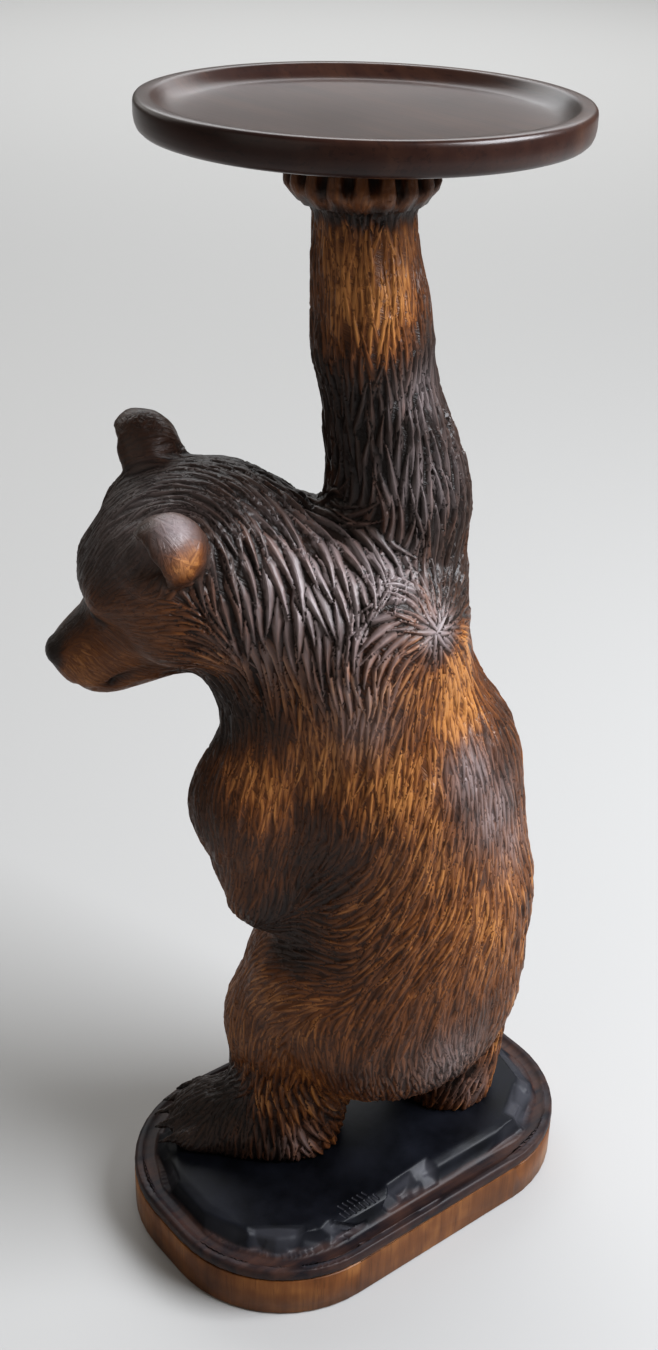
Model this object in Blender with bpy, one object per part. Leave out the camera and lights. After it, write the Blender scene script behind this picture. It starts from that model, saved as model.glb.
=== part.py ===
"""A carved bear on a rounded plinth, holding a shallow turned tray on its raised right paw.

Metres, +Z up. The origin is the centre of the plinth's underside, and the bear's chest
faces -Y. The bear's own left is +X.
"""

import math

import bmesh
import bpy
import numpy as np

# Sizes that can be set one by one
TOUCH_GAP = 0.0003
PLINTH_LENGTH = 0.320
PLINTH_WIDTH = 0.208
PLINTH_CORNER_RADIUS = 0.0885
BOARD_THICKNESS = 0.031
GROUND_THICKNESS = 0.019
GROUND_LIP_HEIGHT = 0.0085
GROUND_LIP_WIDTH = 0.0055
GROUND_COVE_WIDTH = 0.0060
GROUND_COVE_DEPTH = 0.0022
GROUND_LEDGE_INSET = 0.0135
FIGURE_HEIGHT = 0.690
TRAY_DIAMETER = 0.250
TRAY_THICKNESS = 0.019
TRAY_DISH_DEPTH = 0.008
TRAY_RIM_WIDTH = 0.009
TRAY_COVE_WIDTH = 0.013

# The figure's own measure: every place and radius of the bear is in these modules
FIGURE_MODULES = 690.0
MODULE = FIGURE_HEIGHT / FIGURE_MODULES
SCULPT_CELL = 3.6
LOCK_RELIEF = 2.6
LOCK_LENGTH = 44.0
LOCK_WIDTH = 12.0
LOCK_COUNT = 1400
FIGURE_TRIANGLES = 7200
PAW_CENTRE = (2.0, -20.0)
PAW_HEIGHT = 676.0
PAW_RIDGES = 18

WHORL_CENTRE = (-4.0, 61.0, 419.0)
WHORL_REACH = 28.0
HEAD_CENTRE = (81.0, -74.0, 444.0)
HEAD_TURN = math.radians(58)
HEAD_DOWN = math.radians(32)
HEAD_TILT = math.radians(14)


def clear_scene():
    for obj in list(bpy.data.objects):
        bpy.data.objects.remove(obj, do_unlink=True)


def material(name, colour, roughness):
    made = bpy.data.materials.new(name)
    made.use_nodes = True
    shader = made.node_tree.nodes["Principled BSDF"]
    shader.inputs["Base Color"].default_value = (*colour, 1.0)
    shader.inputs["Roughness"].default_value = roughness
    shader.inputs["Metallic"].default_value = 0.0
    return made


def add_object(name, mesh, look):
    mesh.name = name
    mesh.materials.clear()
    mesh.materials.append(look)
    obj = bpy.data.objects.new(name, mesh)
    bpy.context.scene.collection.objects.link(obj)
    return obj


# Plinth and ground


def rounded_outline(inset_at, corner_steps=12, long_steps=8, short_steps=2):
    """The plinth's outline, counter-clockwise, each point moved inwards by inset_at(index, angle)."""
    half_x = PLINTH_LENGTH / 2 - PLINTH_CORNER_RADIUS
    half_y = PLINTH_WIDTH / 2 - PLINTH_CORNER_RADIUS
    centres = [(half_x, -half_y), (half_x, half_y), (-half_x, half_y), (-half_x, -half_y)]
    runs = [short_steps, long_steps, short_steps, long_steps]
    points = []
    for corner, (cx, cy) in enumerate(centres):
        start = -math.pi / 2 + corner * math.pi / 2
        arc = []
        for step in range(corner_steps + 1):
            turn = start + math.pi / 2 * step / corner_steps
            arc.append((cx, cy, math.cos(turn), math.sin(turn)))
        points.extend(arc)
        nx, ny = arc[-1][2], arc[-1][3]
        to_x, to_y = centres[(corner + 1) % 4]
        for step in range(1, runs[corner]):
            share = step / runs[corner]
            points.append((cx + (to_x - cx) * share, cy + (to_y - cy) * share, nx, ny))
    outline = []
    for index, (cx, cy, nx, ny) in enumerate(points):
        reach = PLINTH_CORNER_RADIUS - inset_at(index, math.atan2(cy + ny, cx + nx))
        outline.append((cx + nx * reach, cy + ny * reach))
    return outline


def mesh_from_rings(name, rings):
    """Joins closed rings of equal length, bottom to top, and closes both ends."""
    build = bmesh.new()
    loops = [[build.verts.new(point) for point in ring] for ring in rings]
    for lower, upper in zip(loops, loops[1:]):
        for index in range(len(lower)):
            after = (index + 1) % len(lower)
            build.faces.new((lower[index], lower[after], upper[after], upper[index]))
    build.faces.new(list(reversed(loops[0])))
    build.faces.new(loops[-1])
    bmesh.ops.triangulate(build, faces=build.faces[:])
    bmesh.ops.recalc_face_normals(build, faces=build.faces[:])
    mesh = bpy.data.meshes.new(name)
    build.to_mesh(mesh)
    build.free()
    return mesh


def plinth_board():
    """A plain board with a softened lower and upper arris."""
    arris = 0.0015
    top_arris = 0.0006
    profile = [
        (arris, 0.0),
        (0.0, arris),
        (0.0, BOARD_THICKNESS - top_arris),
        (top_arris, BOARD_THICKNESS),
    ]
    rings = []
    for inset, height in profile:
        outline = rounded_outline(lambda index, angle: inset)
        rings.append([(x, y, height) for x, y in outline])
    return mesh_from_rings("plinth_board", rings)


def ledge_wander(angle, phase):
    """How far the rocky ledge strays from its even line, between about -1 and 1."""
    wander = math.sin(3 * angle + 1.3 + phase) + 0.7 * math.sin(7 * angle + 0.4 + 2 * phase)
    wander += 0.55 * math.sin(12 * angle + 2.1 - phase) + 0.35 * math.sin(19 * angle + phase)
    return wander / 2.2


def carved_ground(base):
    """The rocky ground: a round lip, a cove behind it, then an uneven ledge up to a flat top."""
    lip_top = GROUND_LIP_HEIGHT
    cove_foot = GROUND_LIP_HEIGHT - GROUND_COVE_DEPTH
    ledge = GROUND_LEDGE_INSET
    rise = GROUND_THICKNESS - cove_foot
    profile = [
        (0.0, 0.0, 0.0, 0.0),
        (0.0, 0.0, 0.68 * lip_top, 0.0),
        (0.0014, 0.0, 0.93 * lip_top, 0.0),
        (GROUND_LIP_WIDTH - 0.001, 0.0, lip_top, 0.0),
        (GROUND_LIP_WIDTH + 0.3 * GROUND_COVE_WIDTH, 0.0, cove_foot + 0.0003, 0.0),
        (ledge - 0.0012, 0.0016, cove_foot, 0.0),
        (ledge + 0.0006, 0.0034, cove_foot + 0.42 * rise, 0.0010),
        (ledge + 0.0034, 0.0042, cove_foot + 0.84 * rise, 0.0011),
        (ledge + 0.0105, 0.0044, GROUND_THICKNESS, 0.0),
    ]
    rings = []
    for level, (inset, stray, height, heave) in enumerate(profile):
        phase = 0.35 * level

        def inset_at(index, angle):
            return inset + stray * (1 + ledge_wander(angle, phase))

        outline = rounded_outline(inset_at, corner_steps=11, long_steps=9, short_steps=3)
        ring = []
        for x, y in outline:
            lift = heave * ledge_wander(math.atan2(y, x), 2.0 + phase)
            ring.append((x, y, base + height + lift))
        rings.append(ring)
    return mesh_from_rings("carved_ground", rings)


def turned_tray(base):
    """A shallow dish turned from one board: straight side, flat rim, coved inside, flat floor."""
    radius = TRAY_DIAMETER / 2
    floor = TRAY_THICKNESS - TRAY_DISH_DEPTH
    rim_inside = radius - TRAY_RIM_WIDTH
    floor_edge = rim_inside - TRAY_COVE_WIDTH
    profile = [
        (radius - 0.016, 0.0),
        (radius - 0.0145, 0.0011),
        (radius - 0.0062, 0.0016),
        (radius - 0.0022, 0.0036),
        (radius - 0.0002, 0.0072),
        (radius, 0.0105),
        (radius, TRAY_THICKNESS - 0.0014),
        (radius - 0.0013, TRAY_THICKNESS),
        (rim_inside, TRAY_THICKNESS),
        (rim_inside - 0.30 * TRAY_COVE_WIDTH, floor + 0.58 * TRAY_DISH_DEPTH),
        (rim_inside - 0.66 * TRAY_COVE_WIDTH, floor + 0.17 * TRAY_DISH_DEPTH),
        (floor_edge, floor),
    ]
    steps = 48
    rings = []
    for reach, height in profile:
        ring = []
        for step in range(steps):
            turn = 2 * math.pi * step / steps
            x = PAW_CENTRE[0] * MODULE + reach * math.cos(turn)
            y = PAW_CENTRE[1] * MODULE + reach * math.sin(turn)
            ring.append((x, y, base + height))
        rings.append(ring)
    return mesh_from_rings("tray", rings)


# The bear's form, as rounded cones and ellipsoids that run into each other


def unit(vector):
    vector = np.asarray(vector, float)
    return vector / np.linalg.norm(vector)


def head_axes():
    """The head's forward, left and up directions, as rows."""
    turn, down, tilt = HEAD_TURN, HEAD_DOWN, HEAD_TILT
    forward = np.array([math.sin(turn) * math.cos(down), -math.cos(turn) * math.cos(down), -math.sin(down)])
    level = np.array([math.cos(turn), math.sin(turn), 0.0])
    upright = np.cross(forward, level)
    left = level * math.cos(tilt) - upright * math.sin(tilt)
    return np.array([forward, left, np.cross(forward, left)])


HEAD = head_axes()


def head_point(forward, left, up):
    return np.asarray(HEAD_CENTRE) + np.array([forward, left, up]) @ HEAD


def cone(start, end, start_radius, end_radius, blend, cut=False):
    return ("cone", np.asarray(start, float), np.asarray(end, float), start_radius, end_radius, blend, cut)


def ball(centre, radii, blend, axes=None, cut=False):
    axes = np.eye(3) if axes is None else np.asarray(axes, float)
    return ("ball", np.asarray(centre, float), axes, np.asarray(radii, float), None, blend, cut)


def frame_along(direction, upward=(0, 0, 1)):
    """Axes with the first along direction and the last as near upward as it can be."""
    first = unit(direction)
    last = unit(np.asarray(upward, float) - first * np.dot(first, upward))
    return np.array([first, np.cross(last, first), last])


def chain(points, blend):
    """Rounded cones from each (x, y, z, radius) to the next."""
    parts = []
    for lower, upper in zip(points, points[1:]):
        parts.append(cone(lower[:3], upper[:3], lower[3], upper[3], blend))
    return parts


def body_form():
    parts = [
        ball((-16, 14, 122), (95, 85, 78), 1),
        ball((-27, 16, 196), (91, 83, 105), 30),
        ball((-18, 10, 289), (86, 78, 86), 30),
        ball((4, 4, 378), (62, 59, 74), 30),
    ]
    parts += chain([(8, -1, 399, 57), (*head_point(-16, 0, -16), 52)], 26)
    parts += chain([(36, -33, 350, 44), (*head_point(2, 0, -45), 39)], 18)
    return parts


def raised_arm():
    """Shoulder, upper arm and forearm, then the paw spread like a shallow bowl under the tray."""
    upper = [
        (-42, -13, 344, 38),
        (-32, -12, 414, 37.5),
        (-27, -9, 474, 38.5),
        (-22, -8, 499, 33.5),
        (-14, -11, 526, 30),
        (-9, -13.5, 552, 31),
    ]
    fore = [
        (-9, -13.5, 552, 31),
        (-5, -14.5, 574, 34),
        (-3, -15, 598, 32),
        (0, -18, 620, 29),
        (*PAW_CENTRE, 690, 28.5),
    ]
    parts = chain(upper, 20) + chain(fore, 8)
    centre = np.array([*PAW_CENTRE, PAW_HEIGHT])
    parts.append(ball(centre + (0, 0, 12), (40, 40, 38), 5))
    for ridge in range(PAW_RIDGES):
        turn = 2 * math.pi * (ridge + 0.5) / PAW_RIDGES
        out = np.array([math.cos(turn), math.sin(turn), 0.0])
        heel = centre + out * 29 + (0, 0, -20)
        knuckle = centre + out * 38 + (0, 0, -7)
        tip = centre + out * 38.5 + (0, 0, 20)
        parts += [cone(heel, knuckle, 4.6, 5.8, 2), cone(knuckle, tip, 5.8, 5.8, 2)]
    return parts


def left_arm():
    upper = [(38, -12, 350, 37), (68, -26, 282, 38.5), (64, -13, 226, 30)]
    fore = [(64, -13, 226, 30), (56, -56, 248, 27), (32, -88, 268, 23)]
    parts = chain(upper, 20) + chain(fore, 14)
    palm = np.array([10.0, -97.0, 276.0])
    parts += chain([(32, -88, 268, 23), (*palm, 22)], 10)
    for finger in range(5):
        spread = finger - 2.0
        root = palm + (-8, -8, 10.0 * spread)
        tip = root + (-16, 4, 2.0 * spread - 2)
        parts.append(cone(root, tip, 8, 6.5, 5))
        parts.append(cone(tip + (0, -2, 0), tip + (-14, 5, -4), 3.6, 2.2, 2))
    return parts


def leg(stations, heel, toe, width):
    """Thigh and lower leg down to the sole, and a broad foot with five toes and claws."""
    parts = chain(stations, 22)
    heel, toe = np.asarray(heel, float), np.asarray(toe, float)
    along = np.append(unit(toe - heel), 0.0)
    across = np.array([-along[1], along[0], 0.0])
    middle = np.append((heel + toe) / 2, 8.0)
    length = np.linalg.norm(toe - heel) / 2
    parts.append(ball(middle, (length, width, 33), 12, np.array([along, across, (0, 0, 1)])))
    for digit in range(5):
        spread = (digit - 2) / 2
        root = middle + along * length * (0.62 - 0.16 * spread**2) + across * width * 0.72 * spread
        tip = root + along * 17 + across * 3 * spread
        parts.append(cone(root, tip, 10, 8.5, 4))
        claw = tip + along * 5 + (0, 0, 2)
        parts.append(cone(claw, claw + along * 14 + (0, 0, -7), 3.8, 2.4, 1.5))
    return parts


def head_form():
    parts = [
        ball(head_point(9, 0, -1), (62, 61, 53), 22, HEAD),
        ball(head_point(-2, 0, -24), (54, 64, 46), 16, HEAD),
        ball(head_point(17, -36, 31), (16, 16, 14), 12, HEAD),
        ball(head_point(17, 36, 31), (16, 16, 14), 12, HEAD),
    ]
    for start, end, wide, narrow in (
        ((34, 0, -19), (94, 0, -27), 34, 25),
        ((28, 0, -49), (87, 0, -43), 29, 21),
    ):
        parts.append(cone(head_point(*start), head_point(*end), wide, narrow, 12))
    parts.append(ball(head_point(107, 0, -16), (11, 12, 9), 4, HEAD))
    parts.append(ball(head_point(50, 0, 17), (20, 24, 15), 12, HEAD))
    for side in (-1, 1):
        parts.append(ball(head_point(51, side * 25, 18), (17, 14, 12), 10, HEAD))
        parts.append(ball(head_point(30, side * 39, -18), (26, 16, 22), 14, HEAD))
        outward = unit(HEAD[2] + side * 0.75 * HEAD[1])
        facing = unit(HEAD[0] + side * 0.18 * HEAD[1])
        axes = frame_along(facing, outward)
        place = head_point(side - 1, side * 53, 45)
        parts.append(ball(place, (23, 22, 27), 6, axes))
        parts.append(ball(place + facing * 19 + outward * 4, (22, 17, 21), 2, axes, cut=True))
    return parts


def face_cuts():
    parts = []
    for side in (-1, 1):
        parts.append(ball(head_point(71, side * 20, 8), (6, 6.5, 4.5), 4, HEAD, cut=True))
        parts.append(ball(head_point(65, side * 18, 8), (7, 6, 5), 1, HEAD))
        parts.append(ball(head_point(116, side * 5.5, -17), (4, 3.2, 2.6), 1.5, HEAD, cut=True))
        lip, corner = head_point(106, side * 14, -38), head_point(58, side * 34, -44)
        parts.append(cone(lip, corner, 2.2, 3.4, 3, cut=True))
    parts.append(cone(head_point(110, -14, -37), head_point(110, 14, -37), 2.4, 2.4, 3, cut=True))
    return parts


def figure_form():
    parts = body_form()
    left_leg = [(30, 0, 138, 52), (41, -18, 98, 42), (44, -14, 40, 37), (45, -12, 4, 35)]
    right_leg = [(-52, 14, 140, 58), (-77, 12, 98, 46), (-77, 16, 40, 35), (-76, 18, 4, 33)]
    parts += leg(left_leg, (28, 17), (108, -66), 34)
    parts += leg(right_leg, (-68, 50), (-100, -50), 34)
    parts += raised_arm() + left_arm() + head_form() + face_cuts()
    return parts


def distance_to(part, points):
    kind, first, second, third, fourth = part[:5]
    if kind == "cone":
        along = second - first
        share = np.clip((points - first) @ along / (along @ along), 0.0, 1.0)
        away = np.linalg.norm(points - first - share[..., None] * along, axis=-1)
        return away - (third + (fourth - third) * share)
    local = (points - first) @ second.T
    near = np.linalg.norm(local / third, axis=-1)
    steep = np.linalg.norm(local / third**2, axis=-1)
    return near * (near - 1.0) / np.maximum(steep, 1e-6)


def reach_of(part):
    """The smallest box round a part, as low and high corners."""
    kind, first, second, third, fourth = part[:5]
    if kind == "cone":
        low = np.minimum(first - third, second - fourth)
        return low, np.maximum(first + third, second + fourth)
    extent = np.sqrt(((second.T * third) ** 2).sum(axis=1))
    return first - extent, first + extent


def form_field(parts, cell, margin=12.0):
    """Samples the joined form on a grid. Below zero is wood."""
    corners = [reach_of(part) for part in parts if not part[6]]
    low = np.min([corner[0] for corner in corners], axis=0) - margin
    high = np.max([corner[1] for corner in corners], axis=0) + margin
    counts = np.ceil((high - low) / cell).astype(int) + 1
    field = np.full(counts, 40.0, np.float32)
    for part in parts:
        blend, cut = part[5], part[6]
        near, far = reach_of(part)
        pad = max(margin, blend + 2 * cell)
        begin = np.clip(np.floor((near - pad - low) / cell).astype(int), 0, counts - 1)
        end = np.clip(np.ceil((far + pad - low) / cell).astype(int) + 1, 1, counts)
        axes = [low[axis] + cell * np.arange(begin[axis], end[axis]) for axis in range(3)]
        points = np.stack(np.meshgrid(*axes, indexing="ij"), axis=-1)
        found = distance_to(part, points)
        block = tuple(slice(begin[axis], end[axis]) for axis in range(3))
        old = field[block]
        if cut:
            found = -found
            mix = np.maximum(blend - np.abs(old - found), 0.0) / blend
            field[block] = np.maximum(old, found) + mix * mix * blend / 4
        else:
            mix = np.maximum(blend - np.abs(old - found), 0.0) / blend
            field[block] = np.minimum(old, found) - mix * mix * blend / 4
    return field, low


def settle(field):
    """Fills the odd corner wherever wood would meet itself at an edge only."""
    for axis in range(3):
        one, two = [other for other in range(3) if other != axis]
        views = []
        for first in (0, 1):
            for second in (0, 1):
                span = [slice(None)] * 3
                span[one] = slice(first, field.shape[one] - 1 + first)
                span[two] = slice(second, field.shape[two] - 1 + second)
                views.append(field[tuple(span)])
        wood = [view < 0 for view in views]
        checker = (wood[0] == wood[3]) & (wood[1] == wood[2]) & (wood[0] != wood[1])
        views[1][checker & wood[0]] = -0.05
        views[0][checker & wood[1]] = -0.05


def surface_of(field, low, cell):
    """Wraps the zero level of a field in quads: one vertex in each cell the surface crosses."""
    for _ in range(6):
        settle(field)
    wood = field < 0
    shape = np.array(field.shape) - 1
    total = np.zeros((*shape, 3), np.float32)
    count = np.zeros(shape, np.float32)
    for axis in range(3):
        others = [other for other in range(3) if other != axis]
        for first in (0, 1):
            for second in (0, 1):
                begin = [0, 0, 0]
                begin[others[0]], begin[others[1]] = first, second
                start = tuple(slice(begin[k], begin[k] + shape[k]) for k in range(3))
                begin[axis] = 1
                stop = tuple(slice(begin[k], begin[k] + shape[k]) for k in range(3))
                one, two = field[start], field[stop]
                crossed = wood[start] != wood[stop]
                share = np.where(crossed, one / np.where(crossed, one - two, 1.0), 0.0)
                total[..., axis] += share
                total[..., others[0]] += crossed * first
                total[..., others[1]] += crossed * second
                count += crossed
    active = count > 0
    index = np.full(shape, -1, np.int64)
    index[active] = np.arange(active.sum())
    places = np.argwhere(active) + total[active] / count[active][:, None]
    vertices = low + places * cell
    quads = []
    for axis in range(3):
        one, two = [other for other in range(3) if other != axis]
        spans = [slice(1, int(shape[k])) for k in range(3)]
        spans[axis] = slice(0, int(shape[axis]))
        ahead = list(spans)
        ahead[axis] = slice(1, int(shape[axis]) + 1)
        inside, beyond = wood[tuple(spans)], wood[tuple(ahead)]
        for turned, crossing in ((False, inside & ~beyond), (True, ~inside & beyond)):
            where = np.argwhere(crossing)
            where[:, one] += 1
            where[:, two] += 1
            ring = []
            for step_one, step_two in ((-1, -1), (0, -1), (0, 0), (-1, 0)):
                cells = where.copy()
                cells[:, one] += step_one
                cells[:, two] += step_two
                ring.append(index[cells[:, 0], cells[:, 1], cells[:, 2]])
            ring = np.stack(ring, axis=1)
            if turned != (axis == 1):
                ring = ring[:, ::-1]
            quads.append(ring)
    return vertices, np.concatenate(quads)


def coat_guides():
    """Which way the fur lies, as (place, direction, reach)."""
    over = HEAD[0]
    back = -over
    return [
        ((83, -63, 495), (-0.4, 0.9, -0.1), 24),
        ((75, -35, 485), (-0.4, 0.8, -0.5), 24),
        ((96, -77, 491), (-0.6, 0.8, 0.2), 22),
        ((98, -21, 460), (0.0, 0.4, -0.9), 20),
        ((72, -16, 464), (-0.1, 0.55, -0.8), 22),
        ((56, 0, 453), (0.1, 0.65, -0.75), 22),
        ((30, 5, 460), (-0.1, 0.85, -0.5), 22),
        ((18, 33, 446), (-0.1, 0.85, -0.55), 18),
        ((0, 36, 456), (-0.1, 0.5, -0.85), 18),
        ((81, -5, 409), (-0.2, 0.0, -1.0), 22),
        ((62, 20, 397), (0.0, 0.3, -0.95), 24),
        ((40, 53, 402), (0.0, 0.3, -0.95), 18),
        ((93, -19, 398), (-0.6, 0.0, -0.8), 20),
        ((-12, 34, 465), (0.15, 0.0, 1.0), 16),
        ((-28, 40, 453), (-0.2, -0.2, 0.95), 16),
        ((5, 20, 510), (0.1, -0.1, 1.0), 36),
        ((5, 0, 590), (0.05, 0.0, 1.0), 50),
        ((-40, -20, 510), (0.1, 0.0, 1.0), 50),
        ((-26, 61, 390), (-0.55, 0.0, -0.8), 18),
        ((8, 67, 380), (0.2, 0.1, -1.0), 20),
        ((30, 56, 410), (0.7, 0.0, -0.7), 14),
        ((90, 0, 315), (0.3, 0.2, -0.9), 30),
        ((60, 30, 325), (0.1, 0.1, -1.0), 28),
        ((95, 0, 250), (0.0, -0.25, -1.0), 24),
        ((61, 33, 261), (0.1, -0.45, -0.9), 20),
        ((24, 72, 319), (0.3, 0.0, -0.95), 26),
        ((-19, 79, 329), (0.1, 0.3, -0.95), 26),
        ((-49, 80, 292), (-0.15, 0.05, -1.0), 30),
        ((-10, 88, 270), (0.1, 0.0, -1.0), 28),
        ((23, 78, 248), (0.35, -0.15, -0.9), 24),
        ((52, 48, 240), (0.4, -0.65, -0.65), 20),
        ((62, 32, 202), (0.4, -0.9, 0.0), 20),
        ((27, 80, 202), (0.5, -0.3, -0.8), 26),
        ((64, 35, 175), (0.45, -0.85, -0.25), 20),
        ((78, 11, 146), (0.2, -0.7, -0.65), 22),
        ((84, 0, 100), (0.05, -0.15, -1.0), 26),
        ((66, 51, 117), (-0.2, 0.1, -1.0), 20),
        ((43, 76, 144), (0.35, -0.15, -0.9), 24),
        ((0, 95, 159), (0.25, 0.0, -0.95), 30),
        ((10, 90, 115), (-0.25, 0.0, -1.0), 24),
        ((60, 22, 48), (-0.3, 0.15, -0.95), 18),
        ((95, -8, 22), (0.25, 0.15, -0.95), 20),
        ((90, -45, 32), (0.7, -0.5, -0.5), 26),
        ((-72, 54, 22), (0.4, -0.1, -0.9), 18),
        ((-90, -10, 35), (-0.3, -0.9, -0.3), 26),
        ((-98, 0, 120), (-0.15, -0.3, -1.0), 44),
        ((-100, -20, 240), (-0.1, -0.2, -1.0), 60),
        ((-75, 20, 350), (-0.3, 0.2, -0.9), 35),
        ((-60, -20, 400), (-0.1, 0.0, 1.0), 30),
        ((-20, -75, 280), (0.0, 0.0, -1.0), 70),
        ((-10, -70, 140), (0.0, -0.1, -1.0), 50),
        ((35, -75, 390), (-0.3, 0.0, -1.0), 30),
        ((45, -75, 258), (-0.75, -0.5, 0.2), 26),
        (head_point(55, 0, 38), back + 0.3 * HEAD[2], 26),
        (head_point(10, 0, 55), back - 0.1 * HEAD[2], 26),
        (head_point(35, 50, -10), back - 0.5 * HEAD[2], 24),
        (head_point(35, -50, -10), back - 0.5 * HEAD[2], 24),
        (head_point(-10, -58, -5), back - 0.6 * HEAD[2], 34),
        (head_point(20, 0, -65), back - 0.3 * HEAD[2], 30),
    ]


def coat_direction(points, normals):
    """Blends the guides at each point and lays the result on the surface."""
    flow = np.zeros_like(points)
    for place, direction, reach in coat_guides():
        away = ((points - np.asarray(place)) ** 2).sum(axis=1) / reach**2
        flow += (np.exp(-away) + 1e-4 / (1 + away) ** 2)[:, None] * unit(direction)
    outward = points - np.array(WHORL_CENTRE)
    away = np.linalg.norm(outward, axis=1)
    pull = 3.0 * np.exp(-((away / WHORL_REACH) ** 2)) / np.maximum(away, 1e-6)
    flow += outward * pull[:, None]
    flow -= (flow * normals).sum(axis=1)[:, None] * normals
    return flow / np.maximum(np.linalg.norm(flow, axis=1), 1e-9)[:, None]


def coat_depth(points):
    """How boldly the locks are cut: none on the muzzle, nose, paw, toes and soles."""
    local = (points - np.asarray(HEAD_CENTRE)) @ HEAD.T
    bare = np.clip((local[:, 0] - 30) / 26, 0, 1) * (np.abs(local[:, 1]) < 60) * (points[:, 2] > 330)
    depth = 1.0 - bare
    ears = np.exp(-(((local[:, 2] - 66) / 16) ** 2)) * (np.abs(local[:, 1]) > 22)
    depth *= 1.0 - 0.8 * np.clip(ears, 0, 1)
    depth *= np.clip((652 - points[:, 2]) / 12, 0, 1)
    depth *= np.clip((points[:, 2] - 8) / 26, 0, 1)
    palm = np.linalg.norm(points - np.array([0.0, -100.0, 274.0]), axis=1)
    return depth * np.clip((palm - 28) / 14, 0, 1)


def lock_relief(points, normals, count, length, width, seed):
    """Height of the overlapping pointed locks at each point, 0 in the grooves to 1 on the ridges."""
    draw = np.random.RandomState(seed)
    flow = coat_direction(points, normals)
    order = draw.permutation(len(points))
    seeds = []
    taken = np.empty((0, 3))
    spacing = width * 0.92
    for candidate in order:
        place = points[candidate]
        if len(seeds) and (((taken - place) ** 2).sum(axis=1) < spacing**2).any():
            continue
        seeds.append(candidate)
        taken = points[seeds]
        if len(seeds) >= count:
            break
    height = np.zeros(len(points))
    for candidate in seeds:
        size = draw.uniform(0.8, 1.25)
        lean = draw.uniform(-0.16, 0.16)
        along = flow[candidate]
        side = np.cross(normals[candidate], along)
        along = along * math.cos(lean) + side * math.sin(lean)
        side = np.cross(normals[candidate], along)
        offset = points - points[candidate]
        share = offset @ along / (length * size) + 0.45
        across = offset @ side
        deep = np.abs((offset * normals[candidate]).sum(axis=1))
        facing = normals @ normals[candidate]
        near = (share > 0) & (share < 1) & (deep < width) & (facing > 0.2)
        half = 0.5 * width * size * np.clip(np.minimum(share / 0.35, (1 - share) / 0.55), 0, 1) ** 0.7
        ridge = 1 - (across / np.maximum(half, 1e-6)) ** 2
        lock = np.where(near, np.clip(ridge, 0, 1) ** 0.6 * (0.35 + 0.65 * share), 0.0)
        height = np.maximum(height, lock)
    return height


def vertex_normals(mesh):
    normals = np.empty(len(mesh.vertices) * 3, np.float32)
    mesh.vertex_normals.foreach_get("vector", normals)
    return normals.reshape(-1, 3).astype(float)


def relax(build, rounds):
    for _ in range(rounds):
        bmesh.ops.smooth_vert(
            build, verts=build.verts[:], factor=0.5, use_axis_x=True, use_axis_y=True, use_axis_z=True
        )


def slice_flat(build, height, keep_above):
    """Cuts the form on a level plane and closes the cut with a flat face."""
    geometry = build.verts[:] + build.edges[:] + build.faces[:]
    cut = bmesh.ops.bisect_plane(
        build, geom=geometry, dist=1e-6, plane_co=(0, 0, height), plane_no=(0, 0, 1),
        clear_inner=keep_above, clear_outer=not keep_above,
    )
    rim = [item for item in cut["geom_cut"] if isinstance(item, bmesh.types.BMEdge)]
    bmesh.ops.edgeloop_fill(build, edges=rim)


def thinned(mesh):
    """Thins the form's triangles, a little further each time until no two folds share an edge."""
    form = bpy.data.objects.new("bear_form", mesh)
    bpy.context.scene.collection.objects.link(form)
    thin = form.modifiers.new("thin", "DECIMATE")
    thin.use_collapse_triangulate = True
    mesh.calc_loop_triangles()
    thin.ratio = FIGURE_TRIANGLES / len(mesh.loop_triangles)
    for _ in range(8):
        graph = bpy.context.evaluated_depsgraph_get()
        lean = bpy.data.meshes.new_from_object(form.evaluated_get(graph), depsgraph=graph)
        build = bmesh.new()
        build.from_mesh(lean)
        sound = all(len(edge.link_faces) == 2 for edge in build.edges)
        build.free()
        if sound:
            break
        thin.ratio *= 0.985
    bpy.data.objects.remove(form, do_unlink=True)
    return lean


def carved_bear(base):
    """The whole figure, one piece of wood from its soles to the paw under the tray."""
    field, low = form_field(figure_form(), SCULPT_CELL)
    vertices, quads = surface_of(field, low, SCULPT_CELL)
    mesh = bpy.data.meshes.new("bear_form")
    mesh.from_pydata(vertices.tolist(), [], quads.tolist())
    build = bmesh.new()
    build.from_mesh(mesh)
    relax(build, 2)
    build.to_mesh(mesh)
    build.free()
    points = np.array([vertex.co[:] for vertex in mesh.vertices])
    normals = vertex_normals(mesh)
    height = lock_relief(points, normals, LOCK_COUNT, LOCK_LENGTH, LOCK_WIDTH, 5)
    lift = LOCK_RELIEF * (height - 0.45) * coat_depth(points)
    points = (points + normals * lift[:, None]) * MODULE
    mesh.vertices.foreach_set("co", points.ravel())
    mesh.update()
    lean = thinned(mesh)
    build = bmesh.new()
    build.from_mesh(lean)
    slice_flat(build, 0.0, True)
    slice_flat(build, FIGURE_HEIGHT, False)
    bmesh.ops.triangulate(build, faces=build.faces[:])
    bmesh.ops.recalc_face_normals(build, faces=build.faces[:])
    bmesh.ops.translate(build, verts=build.verts[:], vec=(0, 0, base))
    build.to_mesh(lean)
    build.free()
    return lean


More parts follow.
